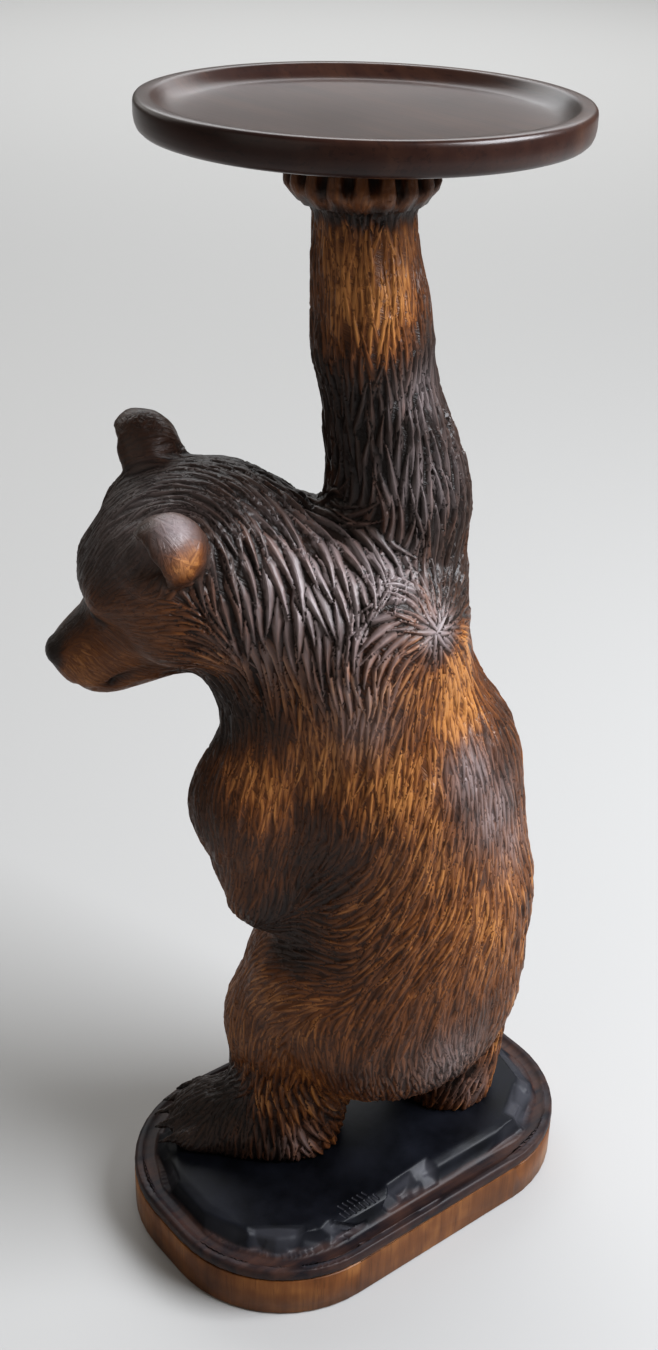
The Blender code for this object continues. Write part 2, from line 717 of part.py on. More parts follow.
def main():
    clear_scene()
    board_wood = material("plinth_wood", (0.36, 0.16, 0.06), 0.40)
    ground_wood = material("ground_wood", (0.020, 0.020, 0.026), 0.34)
    bear_wood = material("bear_wood", (0.13, 0.055, 0.020), 0.36)
    tray_wood = material("tray_wood", (0.075, 0.020, 0.010), 0.30)

    ground_base = BOARD_THICKNESS + TOUCH_GAP
    bear_base = ground_base + GROUND_THICKNESS + TOUCH_GAP
    tray_base = bear_base + FIGURE_HEIGHT + TOUCH_GAP

    add_object("plinth_board", plinth_board(), board_wood)
    add_object("carved_ground", carved_ground(ground_base), ground_wood)
    add_object("bear", carved_bear(bear_base), bear_wood)
    add_object("tray", turned_tray(tray_base), tray_wood)


main()
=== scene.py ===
import math

import bpy
import numpy as np
from mathutils import Matrix, Vector
from mathutils.kdtree import KDTree


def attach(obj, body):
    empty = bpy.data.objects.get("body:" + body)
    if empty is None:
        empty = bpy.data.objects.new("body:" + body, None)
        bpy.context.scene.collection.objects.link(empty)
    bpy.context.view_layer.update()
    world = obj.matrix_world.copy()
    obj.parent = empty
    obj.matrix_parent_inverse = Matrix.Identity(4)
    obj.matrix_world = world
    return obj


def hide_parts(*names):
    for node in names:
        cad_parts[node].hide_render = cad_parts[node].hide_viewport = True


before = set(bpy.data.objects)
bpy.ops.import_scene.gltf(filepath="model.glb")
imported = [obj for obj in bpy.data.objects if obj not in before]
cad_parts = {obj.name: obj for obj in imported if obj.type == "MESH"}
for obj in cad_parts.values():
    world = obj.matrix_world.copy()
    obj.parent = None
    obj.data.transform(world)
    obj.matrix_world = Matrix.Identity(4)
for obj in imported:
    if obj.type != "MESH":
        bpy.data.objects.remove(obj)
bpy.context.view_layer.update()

# Sizes and places in metres
FIGURE_BASE = 0.0506
FIGURE_HEIGHT = 0.690
CARVE_VOXEL = 0.00122
CARVE_TRIANGLES = 196000
TRAY_BASE = 0.7409
TRAY_RADIUS = 0.125
TRAY_CENTRE = (0.002, -0.020)
TRAY_SIDES = 168
UNDERSIDE_INSET = 0.0090
PLINTH_HALF = (0.160, 0.104)
PLINTH_CORNER_RADIUS = 0.0885
GROUND_BASE = 0.0313
GROUND_TOP = 0.0503
GROUND_VOXEL = 0.0014
SCOOP_COUNT = 46
SCOOP_DEPTH = 0.0034
MARKS_CENTRE = np.array([0.052, 0.0752])
MARKS_IN_LINES = (8, 6)
FIRST_MARK = (0.0165, 0.0014)
MARK_STEP, LINE_STEP, LINE_INDENT = 0.0042, 0.0062, 0.003
MARK_SLANT = np.array([-0.0013, 0.0042])
SHORTER_MARK = 0.85
MARK_HALF_WIDTH = 0.0009
MARK_DEPTH = 0.0008

# The figure is carved in modules, a 690th of its height, measured up from its soles
MODULE = FIGURE_HEIGHT / 690.0
SOLES = np.array([0, 0, FIGURE_BASE])
TOP_OF_PAW = 690
PAW_AXIS = np.array(TRAY_CENTRE) / MODULE
PAW_RIDGES = 18
BENT_PAW = np.array([10.0, -97.0, 276.0])
INNER_PALM = np.array([-2.0, -100.0, 274.0])
# Heel and toes of each foot, seen from above
FEET = (((28, 17), (108, -66)), ((-68, 50), (-100, -50)))
FOOT_HALF_WIDTH = 34
WHORL = np.array([-4.0, 61.0, 419.0])
WHORL_REACH = 30.0
HEAD_CENTRE = np.array([81.0, -74.0, 444.0])
HEAD_TURN, HEAD_DOWN, HEAD_TILT = math.radians(58), math.radians(32), math.radians(14)

# Depths of cut and swell in modules
LOCK_RELIEF = 2.0
MOUTH_DEPTH = 1.6
FINGER_CUT_DEPTH = 2.4
PIT_DEPTH = 5.0
BOWL_SWELL = 3.2

# A lock is a leaf, widest at this share of its length from the root, with its outline's and crest's powers
LEAF_WIDEST = 0.30
LEAF_TAPER, LEAF_ROUNDNESS = 0.9, 1.5
# Share of a lock's length from its middle to its root and tip, and how clear of it others begin
LOCK_ENDS = 0.3
LOCK_CLEAR = (0.46, 0.62)
# How far across a lock its second UV map reaches, in half widths
UV_SPAN = 2.4

LOCK_SEED, SHADE_SEED, SCOOP_SEED = 11, 7, 3


def unit(vector):
    vector = np.asarray(vector, float)
    return vector / np.linalg.norm(vector)


def head_axes():
    """The head's own forward, left and up."""
    turn, down, tilt = HEAD_TURN, HEAD_DOWN, HEAD_TILT
    forward = np.array([math.sin(turn) * math.cos(down), -math.cos(turn) * math.cos(down), -math.sin(down)])
    level = np.array([math.cos(turn), math.sin(turn), 0.0])
    upright = np.cross(forward, level)
    left = level * math.cos(tilt) - upright * math.sin(tilt)
    return np.array([forward, left, np.cross(forward, left)])


HEAD = head_axes()
BACK, UP = -HEAD[0], HEAD[2]


def head_point(forward, left, up):
    """A place on the head, in modules of the figure."""
    return HEAD_CENTRE + np.array([forward, left, up]) @ HEAD


def eye_place(side):
    return head_point(66, side * 18, 8)


def ear_place(side):
    return head_point(-3, side * 58, 48)


def in_metres(point):
    """A place on the figure, from modules to metres."""
    return Vector((np.asarray(point, float) * MODULE + SOLES).tolist())


# Working with objects


def choose(obj):
    bpy.ops.object.select_all(action="DESELECT")
    obj.select_set(True)
    bpy.context.view_layer.objects.active = obj


def edit_all(obj):
    """Opens an object for editing, with all of it selected."""
    choose(obj)
    bpy.ops.object.mode_set(mode="EDIT")
    bpy.ops.mesh.select_all(action="SELECT")


def leave_editing():
    bpy.ops.object.mode_set(mode="OBJECT")


def bake(obj, kind, **settings):
    """Adds a modifier and applies it at once."""
    choose(obj)
    modifier = obj.modifiers.new(kind.lower(), kind)
    for key, value in settings.items():
        setattr(modifier, key, value)
    bpy.ops.object.modifier_apply(modifier=modifier.name)


def divide(obj):
    """Splits every facet in sixteen, with the form as it is."""
    bake(obj, "SUBSURF", subdivision_type="SIMPLE", levels=2, render_levels=2)


def reskin(obj, voxel):
    """One closed skin of even cells over all that the object holds."""
    bake(obj, "REMESH", mode="VOXEL", voxel_size=voxel, adaptivity=0.0)


def relax(obj, times):
    bake(obj, "SMOOTH", factor=0.5, iterations=times)


def settle(obj):
    """Puts an object's place, turn and size into its mesh."""
    choose(obj)
    bpy.ops.object.transform_apply(location=True, rotation=True, scale=True)


def copy_of(node, name):
    """A merged copy of a CAD node, with its place in its mesh."""
    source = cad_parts[node]
    mesh = source.data.copy()
    mesh.transform(source.matrix_world)
    mesh.materials.clear()
    obj = bpy.data.objects.new(name, mesh)
    bpy.context.scene.collection.objects.link(obj)
    edit_all(obj)
    bpy.ops.mesh.remove_doubles(threshold=0.00002)
    leave_editing()
    return obj


def join_into(obj, extras):
    choose(obj)
    for extra in extras:
        extra.select_set(True)
    bpy.ops.object.join()


def thin(obj, most):
    """Takes faces away where the surface is plain until at most this many triangles are left."""
    obj.data.calc_loop_triangles()
    count = len(obj.data.loop_triangles)
    if count > most:
        bake(obj, "DECIMATE", ratio=most / count, use_collapse_triangulate=True)


def shade(obj, material):
    obj.data.materials.clear()
    obj.data.materials.append(material)
    for polygon in obj.data.polygons:
        polygon.use_smooth = True


def keep_edges(obj, angle):
    """Shades an object smooth but for its edges sharper than this angle in degrees."""
    choose(obj)
    bpy.ops.object.shade_smooth_by_angle(angle=math.radians(angle))


# Reading and writing meshes


def skin_of(mesh):
    """The places of the vertices and the ways that they face."""
    points = np.empty(len(mesh.vertices) * 3, np.float32)
    normals = np.empty(len(mesh.vertices) * 3, np.float32)
    mesh.vertices.foreach_get("co", points)
    mesh.vertex_normals.foreach_get("vector", normals)
    return points.reshape(-1, 3).astype(float), normals.reshape(-1, 3).astype(float)


def face_middles(mesh):
    middles = np.empty(len(mesh.polygons) * 3, np.float32)
    mesh.polygons.foreach_get("center", middles)
    return middles.reshape(-1, 3)


def move_skin(mesh, points):
    mesh.vertices.foreach_set("co", points.astype(np.float32).ravel())
    mesh.update()


def write_attribute(mesh, name, values):
    layer = mesh.attributes.get(name) or mesh.attributes.new(name, "FLOAT", "POINT")
    layer.data.foreach_set("value", np.asarray(values, np.float32))


def tree_of(points):
    tree = KDTree(len(points))
    for index, point in enumerate(points.tolist()):
        tree.insert(point, index)
    tree.balance()
    return tree


def nearest_in(tree, places):
    return np.array([tree.find(place)[1] for place in places.tolist()])


def all_within(tree, place, reach):
    return np.array([found[1] for found in tree.find_range(place.tolist(), reach)])


# Shapes of change over a distance


def distance(points, place):
    return np.linalg.norm(points - place, axis=1)


def rising(value, start, run):
    """0 up to the start, then up to 1 over the run."""
    return np.clip((value - start) / run, 0, 1)


def falling(value, end, run):
    """Down from 1 to 0 over the run before the end."""
    return np.clip((end - value) / run, 0, 1)


def bell(value, width, power=2):
    """1 at zero, falling to a third at the width; a higher power has a flatter top."""
    return np.exp(-((value / width) ** power))


def spread(points, place, reach):
    """The squared distance from a place, counted in reaches."""
    return ((points - np.asarray(place)) ** 2).sum(axis=1) / reach**2


def nearness(points, place, reach):
    """1 at a place and little past its reach, with a faint tail so that some zone counts everywhere."""
    away = spread(points, place, reach)
    return np.exp(-away) + 1e-4 / (1 + away) ** 2


def zone_blend(points, zones, columns):
    """Weighs the zones at each point and returns one value per column."""
    total = np.full(len(points), 1e-9)
    blended = np.zeros((len(points), columns))
    for place, reach, *values in zones:
        weight = nearness(points, place, reach)
        total += weight
        blended += weight[:, None] * np.asarray(values, float)
    return blended / total[:, None]


# The coat: which way the hair lies, how long its locks are, and the colour of each zone

# Place, direction and reach, in modules
COAT = [
    # Crown, nape and mane
    ((83, -63, 495), (-0.4, 0.9, -0.1), 24), ((75, -35, 485), (-0.4, 0.8, -0.5), 24),
    ((96, -77, 491), (-0.6, 0.8, 0.2), 22), ((98, -21, 460), (0, 0.4, -0.9), 20),
    ((72, -16, 464), (-0.1, 0.55, -0.8), 22), ((56, 0, 453), (0.1, 0.65, -0.75), 22),
    ((41, 19, 444), (0.15, 0.75, -0.6), 20), ((29, -17, 471), (-0.3, 0.85, -0.4), 24),
    ((18, 33, 446), (-0.1, 0.85, -0.55), 18), ((0, 36, 456), (-0.1, 0.5, -0.85), 18),
    ((81, -5, 409), (-0.2, 0, -1), 22), ((69, 14, 397), (-0.05, 0.25, -0.95), 22),
    ((52, 42, 401), (-0.05, 0.35, -0.95), 20), ((40, 53, 402), (0, 0.3, -0.95), 18),
    ((93, -19, 398), (-0.6, 0, -0.8), 20), ((80, -26, 365), (-0.1, 0.6, -0.6), 18),
    # Raised arm
    ((-12, 34, 465), (0.15, 0, 1), 16), ((-28, 40, 453), (-0.2, -0.2, 0.95), 16),
    ((5, 24, 506), (0.1, -0.1, 1), 26), ((-16, 32, 507), (0.15, -0.15, 1), 26),
    ((18, 7, 516), (0, 0, 1), 26), ((14, 13, 579), (0.1, 0, 1), 30),
    ((28, -4, 597), (0, -0.1, 1), 30), ((-6, 17, 597), (0, -0.15, 1), 30),
    ((21, 3, 634), (-0.05, -0.1, 1), 30), ((-45, -15, 500), (0.1, 0, 1), 45),
    ((-20, -45, 560), (0, 0, 1), 45), ((-15, -45, 620), (0, 0, 1), 40),
    # Below the whorl
    ((-26, 61, 390), (-0.55, 0, -0.8), 18), ((8, 67, 380), (0.2, 0.1, -1), 20),
    ((30, 56, 410), (0.7, 0, -0.7), 14), ((-9, 70, 365), (0.1, 0.2, -1), 22),
    # Shoulder and elbow of the bent arm, and the side behind it
    ((87, 0, 320), (0.35, 0.15, -0.9), 26), ((103, -17, 299), (0.3, 0.25, -0.9), 24),
    ((68, 20, 327), (0, 0.05, -1), 24), ((95, 0, 250), (0, -0.25, -1), 24),
    ((76, 16, 262), (0.1, -0.15, -1), 20), ((52, 47, 321), (0.15, 0.1, -1), 24),
    ((61, 33, 261), (0.1, -0.45, -0.9), 20),
    # Back and waist
    ((24, 72, 319), (0.3, 0, -0.95), 26), ((-19, 79, 329), (0.1, 0.3, -0.95), 26),
    ((-49, 80, 292), (-0.15, 0.05, -1), 30), ((-10, 88, 270), (0.1, 0, -1), 28),
    ((23, 78, 248), (0.35, -0.15, -0.9), 24), ((52, 48, 240), (0.4, -0.65, -0.65), 20),
    ((62, 32, 202), (0.4, -0.9, 0), 20), ((27, 80, 202), (0.5, -0.3, -0.8), 26),
    ((64, 35, 175), (0.45, -0.85, -0.25), 20),
    # Thigh and rump
    ((78, 11, 146), (0.2, -0.7, -0.65), 20), ((86, -14, 102), (0.05, 0, -1), 24),
    ((81, 13, 98), (0, -0.3, -0.95), 20), ((66, 51, 117), (-0.2, 0.1, -1), 20),
    ((43, 76, 144), (0.35, -0.15, -0.9), 24), ((7, 94, 159), (0.3, 0, -0.95), 26),
    ((-38, 97, 155), (0.15, 0, -1), 28), ((30, 86, 112), (-0.2, 0, -1), 18),
    ((3, 96, 120), (-0.3, 0, -1), 20),
    # Feet
    ((62, 21, 48), (-0.3, 0.15, -0.95), 16), ((44, 28, 35), (-0.6, -0.1, -0.8), 14),
    ((83, 3, 30), (0.05, 0.15, -1), 16), ((101, -20, 20), (0.4, 0.15, -0.9), 14),
    ((105, -50, 25), (0.7, -0.3, -0.65), 18), ((75, -40, 40), (0.65, -0.7, -0.3), 18),
    ((-72, 54, 22), (0.4, -0.1, -0.9), 18), ((-90, -10, 35), (-0.3, -0.9, -0.3), 24),
    # Right side
    ((-100, 30, 120), (-0.2, -0.3, -0.95), 40), ((-95, -30, 120), (-0.1, -0.3, -1), 40),
    ((-110, 10, 220), (-0.1, -0.2, -1), 45), ((-85, -55, 260), (0, -0.1, -1), 45),
    ((-75, 20, 350), (-0.3, 0.2, -0.9), 35), ((-60, -20, 400), (-0.1, 0, 1), 30),
    # Chest, belly and forearm
    ((-20, -75, 330), (0, 0, -1), 45), ((-20, -75, 230), (0, 0, -1), 45),
    ((-10, -70, 140), (0, -0.1, -1), 40), ((60, -60, 130), (0.1, -0.2, -1), 30),
    ((35, -75, 390), (-0.3, 0, -1), 30), ((45, -75, 258), (-0.75, -0.5, 0.2), 26),
    # Head
    (head_point(55, 0, 38), BACK + 0.3 * UP, 26), (head_point(10, 0, 55), BACK - 0.1 * UP, 26),
    (head_point(40, 44, 0), BACK - 0.25 * UP, 20), (head_point(40, -44, 0), BACK - 0.25 * UP, 20),
    (head_point(30, 52, -25), BACK - 0.6 * UP, 20), (head_point(30, -52, -25), BACK - 0.6 * UP, 20),
    (head_point(84, 24, -25), 0.35 * BACK - UP, 18), (head_point(84, -24, -25), 0.35 * BACK - UP, 18),
    (head_point(88, 0, 2), BACK + 0.2 * UP, 16), (head_point(80, 0, -62), BACK, 20),
    (head_point(2, 62, 45), UP + 0.3 * BACK, 16), (head_point(-4, -62, 45), UP + 0.3 * BACK, 16),
    (head_point(0, -60, -10), BACK - 0.7 * UP, 30), (head_point(-30, -50, 10), BACK - 0.6 * UP, 30),
    (head_point(20, 0, -65), BACK - 0.3 * UP, 30),
]

# Place, reach, lock length, lock width and depth of cut, in modules
LOCK_ZONES = [
    # Mane, crown, raised arm and whorl
    ((60, 5, 440), 45, 50, 9.6, 2.4), ((38, 34, 424), 27, 46, 8.8, 2.2), ((95, -25, 410), 25, 38, 7.6, 1.7),
    ((90, -60, 490), 30, 36, 5.2, 0.8), ((0, 20, 510), 45, 42, 7.2, 1.7), ((10, 0, 565), 28, 36, 5.4, 0.9),
    ((10, 0, 615), 36, 34, 4.2, 0.5), ((-2, 60, 418), 32, 20, 4.0, 1.1), ((20, 8, 654), 9, 15, 5.2, 2.4),
    # Back, bent arm and side
    ((0, 70, 350), 45, 28, 4.4, 0.60), ((50, 45, 330), 30, 28, 4.6, 0.60), ((85, 0, 300), 45, 26, 3.9, 0.45),
    ((-10, 85, 270), 55, 30, 4.8, 0.65), ((40, 60, 210), 45, 32, 5.0, 0.80),
    # Thigh, rump and feet
    ((75, 10, 140), 40, 28, 4.5, 0.55), ((20, 85, 140), 45, 24, 4.3, 0.50),
    ((30, 80, 88), 22, 22, 5.2, 1.1), ((-10, 90, 88), 22, 22, 5.2, 1.1),
    ((60, 18, 36), 28, 32, 7.2, 1.9), ((95, -30, 30), 28, 20, 4.4, 0.8), ((-72, 50, 25), 25, 32, 7.6, 1.9),
    # Right side, chest, forearm and face
    ((-85, -5, 300), 80, 46, 9.5, 1.2), ((-85, -25, 150), 65, 46, 9.5, 1.2),
    ((0, -80, 300), 70, 44, 9.0, 1.1), ((40, -80, 260), 35, 30, 6.0, 0.7),
    ((137, -62, 425), 34, 18, 4.0, 0.20),
    (head_point(85, 20, -20), 26, 15, 4.0, 0.12), (head_point(85, -20, -20), 26, 15, 4.0, 0.12),
    (head_point(45, 48, -5), 24, 20, 4.2, 0.18), (head_point(45, -48, -5), 24, 20, 4.2, 0.18),
    (head_point(40, 0, 45), 30, 32, 4.8, 0.55),
]

# Place, reach and shade from 0, black-brown, to 1, golden, in modules
STAIN = [
    # Crown, mane and shoulder
    ((83, -63, 495), 34, 0.06), ((60, 5, 450), 32, 0.34), ((30, 20, 450), 30, 0.22),
    ((137, -79, 461), 26, 0.14), ((0, 25, 520), 34, 0.08), ((-30, 0, 500), 40, 0.10),
    # Raised arm with its golden band, and the paw
    ((8, 17, 544), 12, 0.20), ((17, 12, 582), 16, 0.86), ((18, 8, 610), 18, 0.88),
    ((20, 8, 638), 17, 0.80), ((14, 15, 566), 13, 0.66), ((0, -20, 682), 24, 0.62),
    ((26, -34, 600), 15, 0.50), ((-24, -2, 600), 15, 0.42), ((-25, -40, 600), 26, 0.50),
    # Whorl, and the brown below the mane
    ((-4, 61, 419), 11, 0.36), ((-16, 68, 375), 20, 1.0), ((10, 66, 378), 16, 0.68),
    ((45, 50, 395), 20, 0.72), ((22, 54, 410), 14, 0.64), ((45, 53, 362), 16, 0.72),
    ((60, 25, 398), 20, 0.68), ((80, -5, 400), 18, 0.60), ((98, -27, 392), 14, 0.75),
    ((83, -28, 360), 18, 0.15), ((80, -5, 350), 14, 0.36),
    # Golden shoulder, and the dark bend of the arm
    ((86, 4, 318), 18, 0.85), ((60, 25, 330), 18, 0.82), ((45, 50, 325), 20, 0.84),
    ((24, 72, 319), 20, 0.80), ((100, -10, 290), 18, 0.42), ((96, -5, 240), 18, 0.55),
    ((60, 40, 285), 20, 0.44), ((83, 13, 217), 13, 0.12), ((60, 35, 235), 15, 0.32),
    # Back and flank
    ((21, 80, 292), 20, 0.68), ((-22, 82, 318), 20, 0.44), ((-36, 84, 285), 20, 0.50),
    ((70, 40, 262), 18, 0.38), ((-10, 92, 245), 28, 0.78), ((30, 75, 240), 22, 0.68),
    ((66, 21, 190), 14, 0.22), ((45, 60, 200), 22, 0.48),
    # Thigh, rump and feet
    ((76, 36, 146), 26, 0.74), ((86, -14, 120), 24, 0.72), ((20, 88, 190), 30, 0.64),
    ((-2, 97, 123), 20, 0.50), ((40, 76, 120), 20, 0.52), ((64, 23, 60), 20, 0.70),
    ((50, 28, 25), 15, 0.58), ((106, -39, 27), 24, 0.08), ((85, -5, 20), 16, 0.26),
    ((-72, 54, 22), 20, 0.55), ((-55, 40, 40), 16, 0.20), ((-90, -10, 40), 26, 0.15),
    # Right side, chest and forearm
    ((-100, 20, 120), 40, 0.60), ((-110, 10, 220), 45, 0.60), ((-80, 20, 350), 36, 0.45),
    ((-60, -15, 420), 32, 0.15), ((-90, -50, 250), 45, 0.62), ((-20, -80, 330), 40, 0.55),
    ((-10, -75, 220), 50, 0.68), ((30, -60, 120), 40, 0.62), ((-60, -50, 110), 40, 0.62),
    ((35, -85, 265), 24, 0.35), ((0, -100, 275), 22, 0.25), ((50, -70, 390), 26, 0.20),
    # Muzzle
    ((140, -55, 419), 24, 0.62), ((146, -93, 385), 24, 0.74), ((120, -60, 400), 20, 0.60),
]

# Place, reach and amount of the painted sheen, pale grey on the crests, in modules
PAINTED_SHEEN = [
    ((55, 15, 435), 42, 0.92), ((38, 38, 416), 26, 0.90), ((78, -5, 400), 24, 0.60),
    ((-4, 61, 419), 15, 1.0), ((46, 44, 388), 22, 0.72), ((20, 34, 446), 26, 0.80),
    ((-10, 28, 500), 26, 0.50), ((-12, 18, 548), 18, 0.50), ((-20, 82, 322), 20, 0.62),
    ((-36, 85, 292), 24, 0.58), ((-55, 85, 262), 24, 0.40), ((-5, 96, 112), 24, 0.50),
    ((62, 25, 20), 14, 0.50), ((-72, 54, 20), 16, 0.40), ((48, 56, 366), 20, 0.60),
    (head_point(-14, 62, 62), 13, 0.75), (head_point(20, 10, 55), 38, 0.35),
]


def coat_direction(points, normals):
    """Which way the hair lies along the skin at each point, running outwards round the whorl."""
    flow = np.zeros_like(points)
    for place, direction, reach in COAT:
        flow += nearness(points, place, reach)[:, None] * unit(direction)
    outward = points - WHORL
    away = np.linalg.norm(outward, axis=1)
    pull = 6.0 * bell(away, WHORL_REACH) / np.maximum(away, 1e-6)
    flow += outward * pull[:, None]
    flow -= (flow * normals).sum(axis=1)[:, None] * normals
    return flow / np.maximum(np.linalg.norm(flow, axis=1), 1e-9)[:, None]


def coat_amount(points):
    """1 where locks are carved, little on the ears, and 0 on the nose, eyes, raised paw and inner palm."""
    amount = rising(distance(points, head_point(107, 0, -16)), 13, 5)
    for side in (-1, 1):
        amount *= rising(distance(points, eye_place(side)), 8, 4)
        amount *= 0.10 + 0.90 * rising(distance(points, ear_place(side)), 24, 5)
    amount *= falling(points[:, 2], 658, 3)
    return amount * rising(distance(points, INNER_PALM), 30, 12)


def finger_cuts(points):
    """1 in the cuts between the five fingers of the bent arm's paw, falling to 0 beside them."""
    offset = points - BENT_PAW
    along = offset @ unit((-16, 4, 0))
    fan = 10 * (1 + 0.012 * np.clip(along, 0, 30))
    cuts = np.zeros(len(points))
    for between in (-1.5, -0.5, 0.5, 1.5):
        cuts = np.maximum(cuts, bell(offset[:, 2] - between * fan, 2.0))
    return cuts * rising(along, 3, 6) * falling(np.linalg.norm(offset, axis=1), 46, 6)


def mouth_line(points):
    """1 along the line between the lips, from the muzzle's front to its corners, falling to 0 beside it."""
    closest = np.full(len(points), 99.0)
    for side in (-1, 1):
        front, corner = head_point(106, side * 14, -38), head_point(56, side * 35, -44)
        run = corner - front
        share = np.clip((points - front) @ run / (run @ run), 0, 1)
        away = np.linalg.norm(points - front - share[:, None] * run, axis=1) / (0.7 + 0.6 * share)
        closest = np.minimum(closest, away)
    return bell(closest, 3.6)


def round_paw(points):
    """The angle of each point round the raised paw's axis."""
    return np.arctan2(points[:, 1] - PAW_AXIS[1], points[:, 0] - PAW_AXIS[0])


def paw_pits(points):
    """How deep the pits between the raised paw's ridges lie at each point, from 0 to 1."""
    turn = round_paw(points)
    wander = 2.5 * np.cos(5 * turn + 1.0) + 1.5 * np.cos(11 * turn)
    between = np.clip(1.5 * np.cos(PAW_RIDGES * turn) + 0.15, 0, 1)
    return between * bell(points[:, 2] - 676 - wander, 11.5, 4)


def paw_bowl(points, normals):
    """How far the raised paw swells out at each point, less its pits, in modules."""
    sideways = np.clip(1 - np.abs(normals[:, 2]) ** 2, 0, 1)
    under = rising(points[:, 2], 653.5, 3) * falling(points[:, 2], 676, 11)
    return BOWL_SWELL * under**1.5 - PIT_DEPTH * paw_pits(points) * sideways


def lock_middles(points, flow, zones, tree, draw):
    """Picks the locks' middles, each clear of the others by a share of its length and width."""
    cells = np.floor((points + 1000) / 1.8).astype(np.int64)
    codes = (cells[:, 0] * 4096 + cells[:, 1]) * 4096 + cells[:, 2]
    order = draw.permutation(len(points))
    candidates = order[np.unique(codes[order], return_index=True)[1]]
    draw.shuffle(candidates)
    taken = np.zeros(len(points), bool)
    chosen = []
    for index in candidates.tolist():
        if taken[index]:
            continue
        chosen.append(index)
        length, width = LOCK_CLEAR[0] * zones[index, 0], LOCK_CLEAR[1] * zones[index, 1]
        near = all_within(tree, points[index], length)
        offset = points[near] - points[index]
        lengthwise = offset @ flow[index]
        sideways = (offset**2).sum(axis=1) - lengthwise**2
        taken[near[(lengthwise / length) ** 2 + sideways / width**2 < 1]] = True
    return chosen


def lay_lock(middle, face, zone, along, flow_at, draw):
    """One lock on the skin: its middle, way, side, length, width and curl, and how far it lies on top."""
    size = draw.uniform(0.85, 1.25)
    lean = draw.normal(0, 0.10)
    rise = draw.uniform(0.0, 0.22)
    length, width = zone[0] * size, zone[1] * (0.6 + 0.4 * size)
    side = np.cross(face, along)
    along = along * math.cos(lean) + side * math.sin(lean)
    side = np.cross(face, along)
    tip = flow_at(middle + along * LOCK_ENDS * length)
    root = flow_at(middle - along * LOCK_ENDS * length)
    turn = math.atan2(tip @ side, max(tip @ along, 0.3)) - math.atan2(root @ side, max(root @ along, 0.3))
    curl = min(max(draw.normal(0, 0.03) - turn / 4.8, -0.11), 0.11)
    return (middle, along, side, length, width, curl), rise


def bow(share, length, curl):
    """How far a curled lock's middle line lies to the side, by the share of its length."""
    return curl * length * (4 * (share - 0.5) ** 2 - 0.5)


def lock_place(offset, lock):
    """A point's share of the lock's length, and its place across it from -1 to 1."""
    middle, along, side, length, width, curl = lock
    share = offset @ along / length + 0.5
    return share, (offset @ side + bow(share, length, curl)) / (0.5 * width)


def ridge_of(share, across):
    """The rounded height of a leaf that is widest near its root and pointed at its tip."""
    half = np.clip(np.minimum(share / LEAF_WIDEST, (1 - share) / (1 - LEAF_WIDEST)), 0, 1) ** LEAF_TAPER
    return np.clip(1 - np.abs(across / np.maximum(half, 1e-6)) ** LEAF_ROUNDNESS, 0, 1)


def carve_locks(points, normals):
    """Overlapping pointed locks over the whole skin.
    Returns their height, 0 in a groove, each point's lock, the locks, and the depth of cut."""
    draw = np.random.RandomState(LOCK_SEED)
    flow = coat_direction(points, normals)
    zones = zone_blend(points, LOCK_ZONES, 3)
    tree = tree_of(points)
    chosen = lock_middles(points, flow, zones, tree, draw)
    rank = np.zeros(len(points))
    height = np.full(len(points), 0.25)
    owner = np.full(len(points), -1, np.int64)
    locks = []

    def flow_at(place):
        return flow[tree.find(place.tolist())[1]]

    for number, index in enumerate(chosen):
        middle, face = points[index], normals[index]
        lock, rise = lay_lock(middle, face, zones[index], flow[index], flow_at, draw)
        locks.append(lock)
        near = all_within(tree, middle, lock[3] * 0.56)
        share, across = lock_place(points[near] - middle, lock)
        ridge = ridge_of(share, across)
        covers = (normals[near] @ face > 0.15) & (share > 0) & (share < 1) & (ridge > 0)
        place = np.where(covers, share + rise, 0.0)
        wins = place > rank[near]
        rank[near[wins]] = place[wins]
        crest = 0.5 + 0.5 * np.minimum(share / 0.7, (1.25 - share) / 0.55)
        height[near[wins]] = (ridge**0.85 * crest)[wins]
        owner[near[wins]] = number
    return height, owner, locks, zones[:, 2]


# How much painted sheen each point gets, the most of any listed place.
def painted_sheen_of(points):
    wear_and_sheen = np.zeros(len(points))
    for place, reach, amount in PAINTED_SHEEN:
        wear_and_sheen = np.maximum(wear_and_sheen, amount * np.exp(-spread(points, place, reach)))
    return wear_and_sheen


def lock_shades(locks):
    """Each lock's own shade, taken near its root so that its tip lies over the next zone."""
    draw = np.random.RandomState(SHADE_SEED)
    roots = [middle - LOCK_ENDS * length * along for middle, along, side, length, width, curl in locks]
    roots = np.array(roots)
    return zone_blend(roots, STAIN, 1)[:, 0] + draw.normal(0, 0.09, len(locks))


